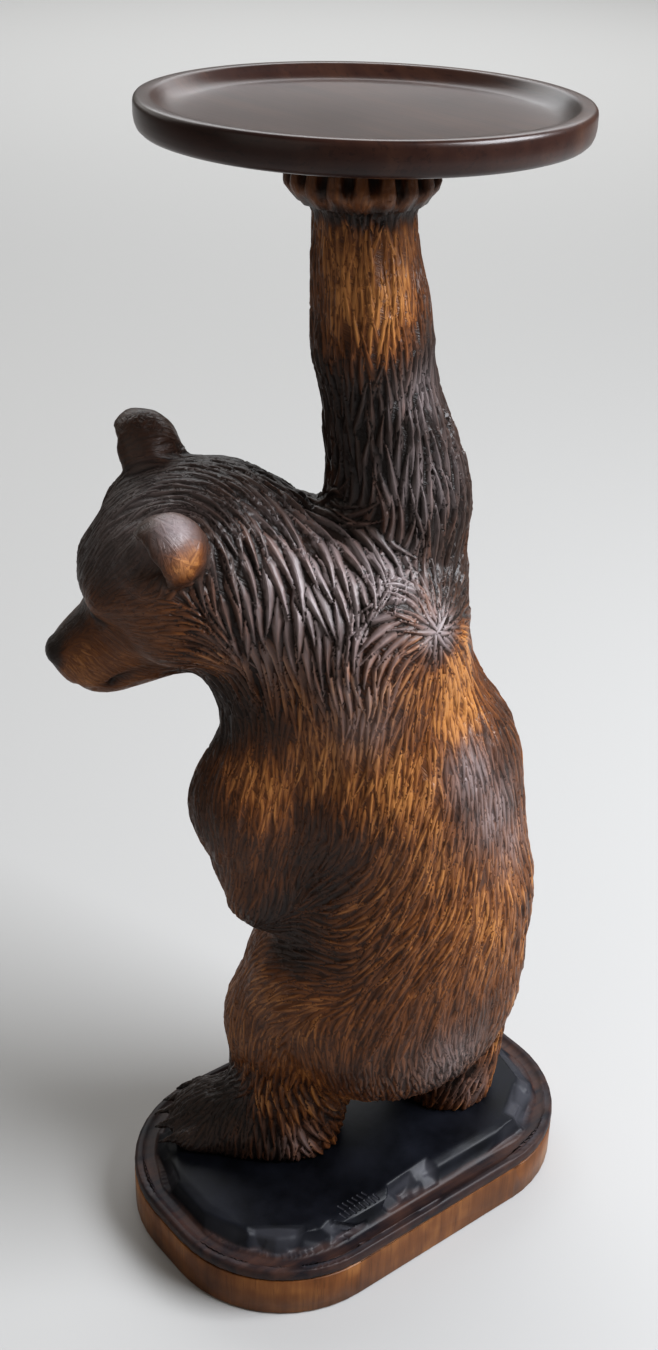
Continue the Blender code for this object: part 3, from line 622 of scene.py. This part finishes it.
def stain_of(points, own, share):
    """The shade at each point: its lock's own by this share, the rest the zone's, then the plain places."""
    shades = zone_blend(points, STAIN, 1)[:, 0]
    shades += share * (own - shades)
    for side, golden in ((-1, 0.30), (1, 0.85)):
        shades += (0.30 - shades) * falling(distance(points, ear_place(side)), 30, 5)
        shades += (golden - shades) * bell(distance(points, head_point(-9, side * 73, 44)), 15, 4)
        # Painted shade in each ear's hollow.
        shades *= 1 - 0.9 * bell(distance(points, head_point(17, side * 62, 48)), 12, 4)
    # Painted shade in the pits between the raised paw's ridges.
    shades *= 1 - 0.95 * paw_pits(points)
    # Darker in a wavy ring just under the raised paw's bowl.
    turn = round_paw(points)
    ring_under_bowl = points[:, 2] - 652 - 2.0 * np.cos(11 * turn) - 1.2 * np.cos(23 * turn)
    shades *= 1 - 0.88 * bell(ring_under_bowl, 5.5, 4)
    forward, left, up = ((points - HEAD_CENTRE) @ HEAD.T).T
    shades *= 1 - 0.8 * (bell(left, 13) * (forward > 40) * rising(up, -12, 12))
    # Painted shade in the mouth's cut and in the cuts between the bent paw's fingers.
    shades *= 1 - 0.9 * np.maximum(mouth_line(points), finger_cuts(points))
    shades *= rising(distance(points, head_point(109, 0, -15)), 11, 4)
    for side in (-1, 1):
        shades *= rising(distance(points, eye_place(side)), 6.5, 5)
    return np.clip(shades, 0, 1)


def ball_at(place, radii):
    """An ellipsoid at a place in modules, its radii along the head's forward, left and up."""
    turn = Matrix(HEAD.tolist()).transposed().to_euler()
    bpy.ops.object.select_all(action="DESELECT")
    bpy.ops.mesh.primitive_uv_sphere_add(
        segments=24, ring_count=12, radius=1.0, location=in_metres(place), rotation=turn
    )
    ball = bpy.context.object
    ball.scale = [radius * MODULE for radius in radii]
    settle(ball)
    return ball


def claw_at(root, tip, radius):
    """A claw that narrows from root to tip, in modules."""
    root, tip = np.asarray(root, float), np.asarray(tip, float)
    turn = Vector((tip - root).tolist()).to_track_quat("Z", "Y").to_euler()
    bpy.ops.object.select_all(action="DESELECT")
    bpy.ops.mesh.primitive_cone_add(
        vertices=14, radius1=1.0, radius2=0.25, depth=1.0, location=in_metres((root + tip) / 2), rotation=turn
    )
    claw = bpy.context.object
    claw.scale = (radius * MODULE, radius * MODULE, np.linalg.norm(tip - root) * MODULE)
    settle(claw)
    return claw


def feet_claws():
    """Five claws before the toes of each foot, laid out from its heel and its toes seen from above."""
    claws = []
    for heel, toes in FEET:
        heel, toes = np.array(heel, float), np.array(toes, float)
        along = np.append(unit(toes - heel), 0.0)
        across = np.array([-along[1], along[0], 0.0])
        middle = np.append((heel + toes) / 2, 8.0)
        length = np.linalg.norm(toes - heel) / 2
        for digit in range(5):
            fan = (digit - 2) / 2
            root = middle + along * length * (0.62 - 0.16 * fan**2) + across * FOOT_HALF_WIDTH * 0.72 * fan
            root = root + along * 20 + across * 3 * fan + (0, 0, 3)
            claws.append(claw_at(root, root + along * 18 + (0, 0, -9), 4.0))
    return claws


def paw_claws():
    """The claws of the paw that the bear holds before its chest."""
    claws = []
    for finger in range(5):
        fan = finger - 2.0
        root = BENT_PAW + (-23, -5, 12.0 * fan - 1)
        claws.append(claw_at(root, root + (-12, 3, 1.0 * fan - 6), 3.4))
    return claws


def whole_figure():
    """The solid's form with a rounder nose, eyes and claws, under one even skin."""
    bear = copy_of("bear", "bear_carving")
    divide(bear)
    relax(bear, 7)
    extras = [ball_at(head_point(108, 0, -15), (10, 12.5, 9.5))]
    for side in (-1, 1):
        extras.append(ball_at(head_point(65.5, side * 18, 8), (6.8, 5.8, 4.8)))
    join_into(bear, extras + feet_claws() + paw_claws())
    reskin(bear, CARVE_VOXEL)
    relax(bear, 3)
    return bear


def carved_bear():
    """The whole figure as the carver left it: the solid's form, then every lock cut into it."""
    bear = whole_figure()
    points, normals = skin_of(bear.data)
    points = (points - SOLES) / MODULE
    height, owner, locks, depth = carve_locks(points, normals)
    amount = coat_amount(points)
    lift = LOCK_RELIEF * depth * amount * (height - 0.45)
    lift += paw_bowl(points, normals)
    lift -= MOUTH_DEPTH * mouth_line(points) + FINGER_CUT_DEPTH * finger_cuts(points)
    carved = points + normals * lift[:, None]
    carved[:, 2] = np.clip(carved[:, 2], 0, TOP_OF_PAW)
    move_skin(bear.data, carved * MODULE + SOLES)
    thin(bear, CARVE_TRIANGLES)
    tree = tree_of(carved)
    mesh = bear.data
    points = (skin_of(mesh)[0] - SOLES) / MODULE
    nearest = nearest_in(tree, points)
    cut = amount * np.clip(depth / 1.1, 0.1, 1)
    owned = owner[nearest]
    own = lock_shades(locks)[np.maximum(owned, 0)]
    # Where the cuts between locks get their painted shade.
    write_attribute(mesh, "groove", ((1 - np.clip(height * 2.4, 0, 1)) * cut)[nearest])
    write_attribute(mesh, "stain", stain_of(points, own, 0.7 * cut[nearest] * (owned >= 0)))
    # Where the crests get their painted sheen.
    write_attribute(mesh, "painted_sheen", painted_sheen_of(points))
    write_attribute(mesh, "bare", 1 - cut[nearest])
    face_owner = owner[nearest_in(tree, (face_middles(mesh) - SOLES) / MODULE)]
    hair_map(mesh, points, face_owner, locks)
    return bear


def hair_map(mesh, points, face_owner, locks):
    """Two UV maps: modules along and across each lock for its hairs, and its shares for its outline.
    face_owner holds the number of the lock that each face belongs to."""
    corner = np.empty(len(mesh.loops), np.int32)
    mesh.loops.foreach_get("vertex_index", corner)
    sizes = np.empty(len(mesh.polygons), np.int32)
    mesh.polygons.foreach_get("loop_total", sizes)
    middles, alongs, sides, lengths, widths, curls = (np.array(column) for column in zip(*locks))
    own = np.maximum(np.repeat(face_owner, sizes), 0)
    offset = points[corner] - middles[own]
    lengthwise = (offset * alongs[own]).sum(axis=1)
    share = lengthwise / lengths[own] + 0.5
    sideways = (offset * sides[own]).sum(axis=1) + bow(share, lengths[own], curls[own])
    across = sideways / (0.5 * widths[own])
    for name, first, second in (
        ("hair", lengthwise / 100 + (own * 0.618) % 7, sideways / 100 + (own * 0.377) % 5),
        ("lock", np.clip(share, 0.06, 0.90), np.clip(across, -UV_SPAN / 2, UV_SPAN / 2) / UV_SPAN + 0.5),
    ):
        uv = np.stack([first, second], axis=1).astype(np.float32)
        layer = mesh.uv_layers.get(name) or mesh.uv_layers.new(name=name)
        layer.data.foreach_set("uv", uv.ravel())


# The tray, turned finer than the solid's facets


# Inset from the rim and height over the underside, up the wall, over the rim and down the cove to the floor
TRAY_PROFILE = [
    (0.0062, 0.0004), (0.0036, 0.0013), (0.0016, 0.0032), (0.0005, 0.0060), (0.0000, 0.0095),
    (0.0000, 0.0158), (0.0004, 0.0175), (0.0013, 0.0186), (0.0026, 0.0190), (0.0080, 0.0190),
    (0.0092, 0.0187), (0.0102, 0.0179), (0.0124, 0.0158), (0.0150, 0.0136), (0.0178, 0.0120),
    (0.0204, 0.0112), (0.0226, 0.0110),
]


def turned_tray():
    """Lathes the tray: a disc drawn out ring by ring along its profile."""
    reach, level = TRAY_RADIUS - UNDERSIDE_INSET, 0.0
    place = (*TRAY_CENTRE, TRAY_BASE)
    bpy.ops.object.select_all(action="DESELECT")
    bpy.ops.mesh.primitive_circle_add(vertices=TRAY_SIDES, radius=reach, fill_type="NGON", location=place)
    tray = bpy.context.object
    tray.name = "tray_turned"
    settle(tray)
    edit_all(tray)
    for inset, height in TRAY_PROFILE:
        bpy.ops.mesh.extrude_region_move(TRANSFORM_OT_translate={"value": (0, 0, height - level)})
        scale = (TRAY_RADIUS - inset) / reach
        middle = (*TRAY_CENTRE, TRAY_BASE + height)
        bpy.ops.transform.resize(value=(scale, scale, 1.0), center_override=middle)
        reach, level = TRAY_RADIUS - inset, height
    bpy.ops.mesh.select_all(action="SELECT")
    bpy.ops.mesh.normals_make_consistent(inside=False)
    leave_editing()
    return tray


# The plinth: the ground block and the board under it


def edge_place(x, side, inset):
    """A place on the plinth's outline moved inwards, at this length along it, and its outward direction."""
    run = PLINTH_HALF[0] - PLINTH_CORNER_RADIUS
    reach = PLINTH_CORNER_RADIUS - inset
    bend = min(max(abs(x) - run, 0.0), 0.95 * reach)
    y = math.sqrt(reach**2 - bend**2)
    centre_y = PLINTH_HALF[1] - PLINTH_CORNER_RADIUS
    place = np.array([math.copysign(min(abs(x), run) + bend, x), side * (centre_y + y), 0.0])
    return place, np.array([math.copysign(bend, x), side * y]) / reach


def scooped(points):
    """The gouge's flat scoops round the edge of the ground, clear of the marks.
    Returns the places after them, and how much painted grey sheen each one gets."""
    rise = GROUND_TOP - GROUND_BASE
    height = (points[:, 2] - GROUND_BASE) / rise
    draw = np.random.RandomState(SCOOP_SEED)
    moved, cut_sheen = points.copy(), np.zeros(len(points))
    for number in range(SCOOP_COUNT):
        x = draw.uniform(-0.150, 0.150)
        side = 1 if number % 3 else -1
        place, out = edge_place(x, side, draw.uniform(0.015, 0.029))
        tilt = draw.uniform(0.35, 1.15)
        facing = (out[0] * math.cos(tilt), out[1] * math.cos(tilt), math.sin(tilt))
        facing = unit(facing + draw.normal(0, 0.10, 3))
        place = place + (0, 0, GROUND_BASE + draw.uniform(0.70, 1.0) * rise)
        offset = moved - place
        outward = offset @ facing
        beyond = outward + draw.uniform(0.0004, 0.0016)
        flat = np.linalg.norm(offset - outward[:, None] * facing, axis=1) / draw.uniform(0.012, 0.024)
        depth = np.minimum(beyond, SCOOP_DEPTH * np.clip(1.8 * (1 - flat**2), 0, 1))
        clear = np.linalg.norm((moved[:, :2] - MARKS_CENTRE) / (0.026, 0.011), axis=1)
        depth = np.where((depth > 0) & (height > 0.42) & (clear > 1), depth, 0)
        moved -= facing * depth[:, None]
        # Painted sheen: each scoop is paler grey the deeper it cuts.
        cut_sheen = np.maximum(cut_sheen, depth / SCOOP_DEPTH * draw.uniform(0.2, 1.0))
    moved[:, 2] = np.clip(moved[:, 2], GROUND_BASE, GROUND_TOP)
    return moved, cut_sheen


def divide_marks_place(ground):
    """Splits the faces round the marks, so that fine cuts have places to go."""
    choose(ground)
    bpy.ops.object.mode_set(mode="EDIT")
    bpy.ops.mesh.select_mode(type="FACE")
    bpy.ops.mesh.select_all(action="DESELECT")
    leave_editing()
    for polygon in ground.data.polygons:
        x, y = polygon.center[0] - MARKS_CENTRE[0], polygon.center[1] - MARKS_CENTRE[1]
        polygon.select = abs(x) < 0.021 and abs(y) < 0.0085 and polygon.normal.z > 0.3
    bpy.ops.object.mode_set(mode="EDIT")
    bpy.ops.mesh.subdivide(number_cuts=3)
    leave_editing()


def cut_marks(ground):
    """Two short rows of plain slanting cuts near the edge, where the carver's knife marked the ground."""
    divide_marks_place(ground)
    points, normals = skin_of(ground.data)
    depth = np.zeros(len(points))
    for line, count in enumerate(MARKS_IN_LINES):
        for mark in range(count):
            x = FIRST_MARK[0] - MARK_STEP * mark - LINE_INDENT * line
            start = MARKS_CENTRE + (x, FIRST_MARK[1] - LINE_STEP * line)
            slant = MARK_SLANT * (SHORTER_MARK if mark % 2 else 1.0)
            offset = points[:, :2] - start
            share = np.clip(offset @ slant / (slant @ slant), 0, 1)
            away = np.linalg.norm(offset - share[:, None] * slant, axis=1)
            depth = np.maximum(depth, np.clip(1 - away / MARK_HALF_WIDTH, 0, 1))
    depth *= normals[:, 2] > 0.3
    move_skin(ground.data, points - normals * MARK_DEPTH * depth[:, None])
    # The marks' cuts take the same pale grey as the scoops' painted sheen.
    cut_sheen = np.empty(len(points), np.float32)
    ground.data.attributes["cut_sheen"].data.foreach_get("value", cut_sheen)
    write_attribute(ground.data, "cut_sheen", np.maximum(cut_sheen, 0.7 * depth))


def carved_ground():
    """The ground block with the gouge's scoops on its ledge and top, and shallow strokes at its rear edge."""
    ground = copy_of("carved_ground", "ground_carving")
    divide(ground)
    reskin(ground, GROUND_VOXEL)
    relax(ground, 2)
    moved, cut_sheen = scooped(skin_of(ground.data)[0])
    move_skin(ground.data, moved)
    write_attribute(ground.data, "cut_sheen", cut_sheen)
    cut_marks(ground)
    height = (skin_of(ground.data)[0][:, 2] - GROUND_BASE) / (GROUND_TOP - GROUND_BASE)
    write_attribute(ground.data, "rim", np.clip((0.50 - height) / 0.10, 0, 1))
    return ground


def edged_board():
    """The plinth's board with its edges broken."""
    board = copy_of("plinth_board", "plinth_board_edge")
    bake(board, "BEVEL", width=0.0012, segments=3, limit_method="ANGLE", angle_limit=math.radians(45))
    return board


# Materials


class Nodes:
    """A small helper that adds and links shader nodes."""

    def __init__(self, name):
        self.material = bpy.data.materials.new(name)
        self.material.use_nodes = True
        self.tree = self.material.node_tree
        self.shader = self.tree.nodes["Principled BSDF"]

    def plug(self, socket, value):
        if hasattr(value, "is_output"):
            self.tree.links.new(value, socket)
        else:
            socket.default_value = value

    def add(self, kind, settings=(), **inputs):
        node = self.tree.nodes.new(kind)
        for key, value in dict(settings).items():
            setattr(node, key, value)
        for key, value in inputs.items():
            self.plug(node.inputs[key.replace("_", " ")], value)
        return node

    def set(self, **inputs):
        for key, value in inputs.items():
            self.plug(self.shader.inputs[key.replace("_", " ")], value)

    def place(self):
        return self.add("ShaderNodeTexCoord").outputs["Object"]

    def uv(self, name):
        return self.add("ShaderNodeUVMap", {"uv_map": name}).outputs[0]

    def attribute(self, name):
        return self.add("ShaderNodeAttribute", {"attribute_name": name}).outputs["Fac"]

    def math(self, operation, *values):
        node = self.add("ShaderNodeMath", {"operation": operation})
        for socket, value in zip(node.inputs, values):
            self.plug(socket, value)
        return node.outputs[0]

    def times(self, one, two):
        return self.math("MULTIPLY", one, two)

    def minus(self, one, two):
        return self.math("SUBTRACT", one, two)

    def raised(self, base, amount, scale):
        """The base and so much of an amount."""
        return self.math("ADD", base, self.times(amount, scale))

    def swung(self, base, wave, swing):
        """The base moved up and down by a wave that runs from 0 to 1."""
        return self.raised(base, self.minus(wave, 0.5), swing)

    def noise(self, source, scale, detail=3.0, rough=0.55):
        node = self.add("ShaderNodeTexNoise", Vector=source, Scale=scale, Detail=detail, Roughness=rough)
        return node.outputs["Fac"]

    def grain(self, source, scale, detail, rough=0.6):
        """Noise drawn out along one way, by its scale along each."""
        drawn_out = self.add("ShaderNodeMapping", Vector=source, Scale=scale).outputs[0]
        return self.noise(drawn_out, 1.0, detail, rough)

    def ramp(self, value, stops):
        node = self.add("ShaderNodeValToRGB", Fac=value)
        elements = node.color_ramp.elements
        while len(elements) < len(stops):
            elements.new(0.5)
        for element, (place, colour) in zip(elements, stops):
            element.position = place
            element.color = (*colour, 1)
        return node.outputs["Color"]

    def mix(self, share, one, two, blend="MIX"):
        node = self.add("ShaderNodeMix", {"data_type": "RGBA", "blend_type": blend}, Factor=share)
        for socket, value in ((node.inputs[6], one), (node.inputs[7], two)):
            self.plug(socket, (*value, 1) if isinstance(value, tuple) else value)
        return node.outputs[2]

    def bump(self, height, strength, distance, over=None):
        node = self.add("ShaderNodeBump", Height=height, Strength=strength, Distance=distance)
        if over is not None:
            self.plug(node.inputs["Normal"], over)
        return node.outputs[0]


def lock_outline(made):
    """Height of the lock's rounded leaf from its own shares, 0 at its outline."""
    shares = made.add("ShaderNodeSeparateXYZ", Vector=made.uv("lock"))
    share, across = shares.outputs[0], shares.outputs[1]
    across = made.times(made.minus(across, 0.5), UV_SPAN)
    rootward = made.math("DIVIDE", share, LEAF_WIDEST)
    tipward = made.math("DIVIDE", made.minus(1.0, share), 1 - LEAF_WIDEST)
    half = made.math("MINIMUM", made.math("MINIMUM", rootward, tipward), 1.0)
    half = made.math("POWER", made.math("MAXIMUM", half, 0.30), LEAF_TAPER)
    ratio = made.math("ABSOLUTE", made.math("DIVIDE", across, half))
    return made.math("MAXIMUM", made.minus(1.0, made.math("POWER", ratio, LEAF_ROUNDNESS)), 0.0)


def carved_wood():
    """Stained and lacquered carving: cuts darkened by painted shade, golden crests, and a painted grey sheen
    on some crests.
    """
    made = Nodes("stained_carving")
    coords, hair = made.place(), made.uv("hair")
    stain, groove = made.attribute("stain"), made.attribute("groove")
    painted_sheen, bare = made.attribute("painted_sheen"), made.attribute("bare")
    carved = made.minus(1.0, bare)
    soft = made.raised(0.25, carved, 0.75)
    leaf = lock_outline(made)
    mottle = made.noise(coords, 26.0, 4.0, 0.6)
    strands = made.grain(hair, (5.0, 42.0, 1.0), 3.0)
    fine = made.grain(hair, (16.0, 130.0, 1.0), 2.0, 0.5)
    tone = made.swung(stain, mottle, 0.55)
    tone = made.swung(tone, strands, made.times(made.raised(0.50, stain, 1.1), soft))
    tone = made.raised(tone, made.times(made.minus(leaf, 0.55), 0.30), soft)
    colour = made.ramp(tone, [
        (0.0, (0.0230, 0.0145, 0.0120)), (0.25, (0.037, 0.0195, 0.0130)), (0.50, (0.074, 0.0270, 0.0105)),
        (0.75, (0.160, 0.0560, 0.0150)), (1.0, (0.385, 0.170, 0.052)),
    ])
    # Painted shade: each lock darkens towards its outline and deep in the cuts between locks.
    edge = made.minus(1.0, made.math("MINIMUM", made.times(leaf, 3.6), 1.0))
    edge = made.math("MAXIMUM", edge, made.times(groove, 0.7))
    dark = made.mix(1.0, colour, (0.37, 0.30, 0.25), "MULTIPLY")
    colour = made.mix(made.times(made.times(edge, made.times(carved, soft)), 0.9), colour, dark)
    # Painted sheen: pale grey on the crests of the listed places, standing in for the lacquer's highlight.
    crown = made.math("MAXIMUM", leaf, bare)
    sheen_share = made.times(made.times(painted_sheen, crown), made.raised(0.55, mottle, 0.9))
    sheen_share = made.math("MINIMUM", made.times(sheen_share, 0.95), 0.92)
    colour = made.mix(sheen_share, colour, (0.310, 0.262, 0.266))
    leaf_rise = made.times(made.math("POWER", made.math("MAXIMUM", leaf, 0.0001), 0.7), carved)
    planed = made.times(made.noise(coords, 120.0, 2.0, 0.5), bare)
    normal = made.bump(leaf_rise, 0.55, 0.0014)
    normal = made.bump(strands, 0.7, 0.0012, normal)
    normal = made.bump(fine, 0.3, 0.0004, normal)
    normal = made.bump(planed, 0.5, 0.0020, normal)
    rough = made.raised(0.30, fine, 0.20)
    made.set(Base_Color=colour, Roughness=rough, Normal=normal, Specular_IOR_Level=0.33)
    return made.material


def turned_wood():
    """Dark red-brown lacquered wood with fine pores."""
    made = Nodes("turned_tray_wood")
    coords = made.place()
    grain = made.grain(coords, (60.0, 5.0, 40.0), 5.0)
    pores = made.grain(coords, (420.0, 26.0, 420.0), 2.0)
    cloud = made.noise(coords, 9.0, 3.0, 0.5)
    tone = made.raised(made.times(grain, 0.7), cloud, 0.4)
    colour = made.ramp(tone, [
        (0.30, (0.016, 0.006, 0.005)), (0.55, (0.034, 0.014, 0.010)), (0.80, (0.066, 0.029, 0.017)),
    ])
    open_pores = made.times(made.math("GREATER_THAN", pores, 0.62), 0.35)
    colour = made.mix(open_pores, colour, (0.008, 0.004, 0.004))
    rough = made.raised(0.26, cloud, 0.10)
    made.set(Base_Color=colour, Roughness=rough, Normal=made.bump(pores, 0.12, 0.0004))
    made.set(Coat_Weight=0.10, Coat_Roughness=0.18, Specular_IOR_Level=0.35)
    return made.material


def ground_wood():
    """Blue-black stain, brown wear on the lip, and a painted grey sheen on the gouge's scoops, with the same
    grey in the marks.
    """
    made = Nodes("blackened_ground_wood")
    coords = made.place()
    cloud = made.noise(coords, 26.0, 4.0, 0.6)
    streak = made.grain(coords, (18.0, 160.0, 160.0), 3.0)
    top = made.ramp(cloud, [(0.35, (0.002, 0.0025, 0.004)), (0.70, (0.009, 0.010, 0.015))])
    wear_and_sheen = made.raised(made.times(cloud, 0.6), streak, 0.4)
    lip = made.ramp(wear_and_sheen, [(0.40, (0.013, 0.011, 0.014)), (0.66, (0.068, 0.034, 0.025))])
    colour = made.mix(made.attribute("rim"), top, lip)
    # Painted sheen: pale grey on the scoops and in the marks.
    colour = made.mix(made.times(made.attribute("cut_sheen"), 0.85), colour, (0.062, 0.062, 0.072))
    rough = made.raised(0.34, cloud, 0.22)
    normal = made.bump(made.noise(coords, 140.0), 0.18, 0.0006)
    made.set(Base_Color=colour, Roughness=rough, Normal=normal, Specular_IOR_Level=0.20)
    return made.material


def board_wood():
    """Orange-brown wood with upright streaks and dark flecks."""
    made = Nodes("plinth_board_wood")
    coords = made.place()
    streak = made.grain(coords, (190.0, 190.0, 14.0), 4.0)
    cloud = made.noise(coords, 16.0)
    fleck = made.grain(coords, (520.0, 520.0, 30.0), 2.0)
    tone = made.raised(made.times(streak, 0.24), cloud, 0.80)
    colour = made.ramp(tone, [
        (0.34, (0.050, 0.018, 0.007)), (0.52, (0.150, 0.058, 0.020)), (0.72, (0.330, 0.150, 0.050)),
    ])
    flecks = made.times(made.math("GREATER_THAN", fleck, 0.60), 0.28)
    colour = made.mix(flecks, colour, (0.045, 0.018, 0.009))
    rough = made.raised(0.30, cloud, 0.12)
    normal = made.bump(fleck, 0.10, 0.0004)
    made.set(Base_Color=colour, Roughness=rough, Normal=normal, Specular_IOR_Level=0.20)
    return made.material


# Lights, floor and camera

# Name, place, target, size, power and colour
LIGHTS = [
    ("window", (-1.15, 1.45, 2.0), (0, 0, 0.42), (1.6, 1.3), 122, (0.92, 0.95, 1.0)),
    ("fill", (1.9, 0.2, 1.2), (0, 0, 0.35), (1.6, 1.6), 4, (1.0, 0.96, 0.90)),
    ("front", (0.3, -1.9, 1.6), (0, 0, 0.35), (1.6, 1.4), 6, (1.0, 0.98, 0.95)),
    ("far floor", (-3.8, -4.5, 3.6), (-3.9, -4.7, 0), (6.5, 6.5), 330, (0.96, 0.98, 1.0)),
]
FLOOR_COLOUR = (0.43, 0.426, 0.418, 1)
AIR_COLOUR = (1.0, 0.94, 0.86, 1)
AIR_STRENGTH = 0.14

# The camera as fitted to the photo: its place, its right and up, and its lens and sensor in millimetres
CAMERA_PLACE = (0.5919, 0.6962, 0.9106)
CAMERA_RIGHT, CAMERA_UP = (-0.7876, 0.6156, 0.0266), (-0.2766, -0.3917, 0.8775)
CAMERA_LENS, SENSOR_HEIGHT = 43.95, 36.0


def area_light(name, place, target, size, power, colour):
    data = bpy.data.lights.new(name, "AREA")
    data.shape = "RECTANGLE"
    data.size, data.size_y = size
    data.energy = power
    data.color = colour
    lamp = bpy.data.objects.new(name, data)
    bpy.context.scene.collection.objects.link(lamp)
    lamp.location = place
    lamp.rotation_euler = (Vector(target) - Vector(place)).to_track_quat("-Z", "Y").to_euler()


def studio():
    """A pale floor under soft daylight from one side."""
    bpy.ops.object.select_all(action="DESELECT")
    bpy.ops.mesh.primitive_plane_add(size=40.0, location=(0, 0, 0))
    floor = bpy.context.object
    floor.name = "floor"
    made = Nodes("pale_floor")
    made.set(Base_Color=FLOOR_COLOUR, Roughness=0.75)
    floor.data.materials.append(made.material)
    world = bpy.data.worlds.new("studio")
    bpy.context.scene.world = world
    world.use_nodes = True
    background = world.node_tree.nodes["Background"]
    background.inputs["Color"].default_value = AIR_COLOUR
    background.inputs["Strength"].default_value = AIR_STRENGTH
    for light in LIGHTS:
        area_light(*light)
    bpy.context.scene.view_settings.view_transform = "Standard"
    bpy.context.scene.view_settings.look = "Medium High Contrast"


def camera():
    """Sets up the photo's view."""
    data = bpy.data.cameras.new("camera")
    data.sensor_fit = "VERTICAL"
    data.sensor_height = SENSOR_HEIGHT
    data.lens = CAMERA_LENS
    data.clip_start = 0.05
    eye = bpy.data.objects.new("camera", data)
    bpy.context.scene.collection.objects.link(eye)
    right, up = Vector(CAMERA_RIGHT), Vector(CAMERA_UP)
    turn = Matrix((right, up, right.cross(up))).transposed()
    eye.matrix_world = Matrix.Translation(CAMERA_PLACE) @ turn.to_4x4()
    bpy.context.scene.camera = eye


def dress():
    """Makes the four pieces in their materials, hangs each one under the root and hides the node that it
    stands in for.
    """
    pieces = (
        (carved_bear(), carved_wood(), "bear"), (turned_tray(), turned_wood(), "tray"),
        (carved_ground(), ground_wood(), "carved_ground"), (edged_board(), board_wood(), "plinth_board"),
    )
    for piece, material, node in pieces:
        shade(piece, material)
        if node in ("tray", "plinth_board"):
            keep_edges(piece, 40)
        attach(piece, "root")
        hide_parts(node)


camera()
studio()
dress()
bpy.context.view_layer.update()
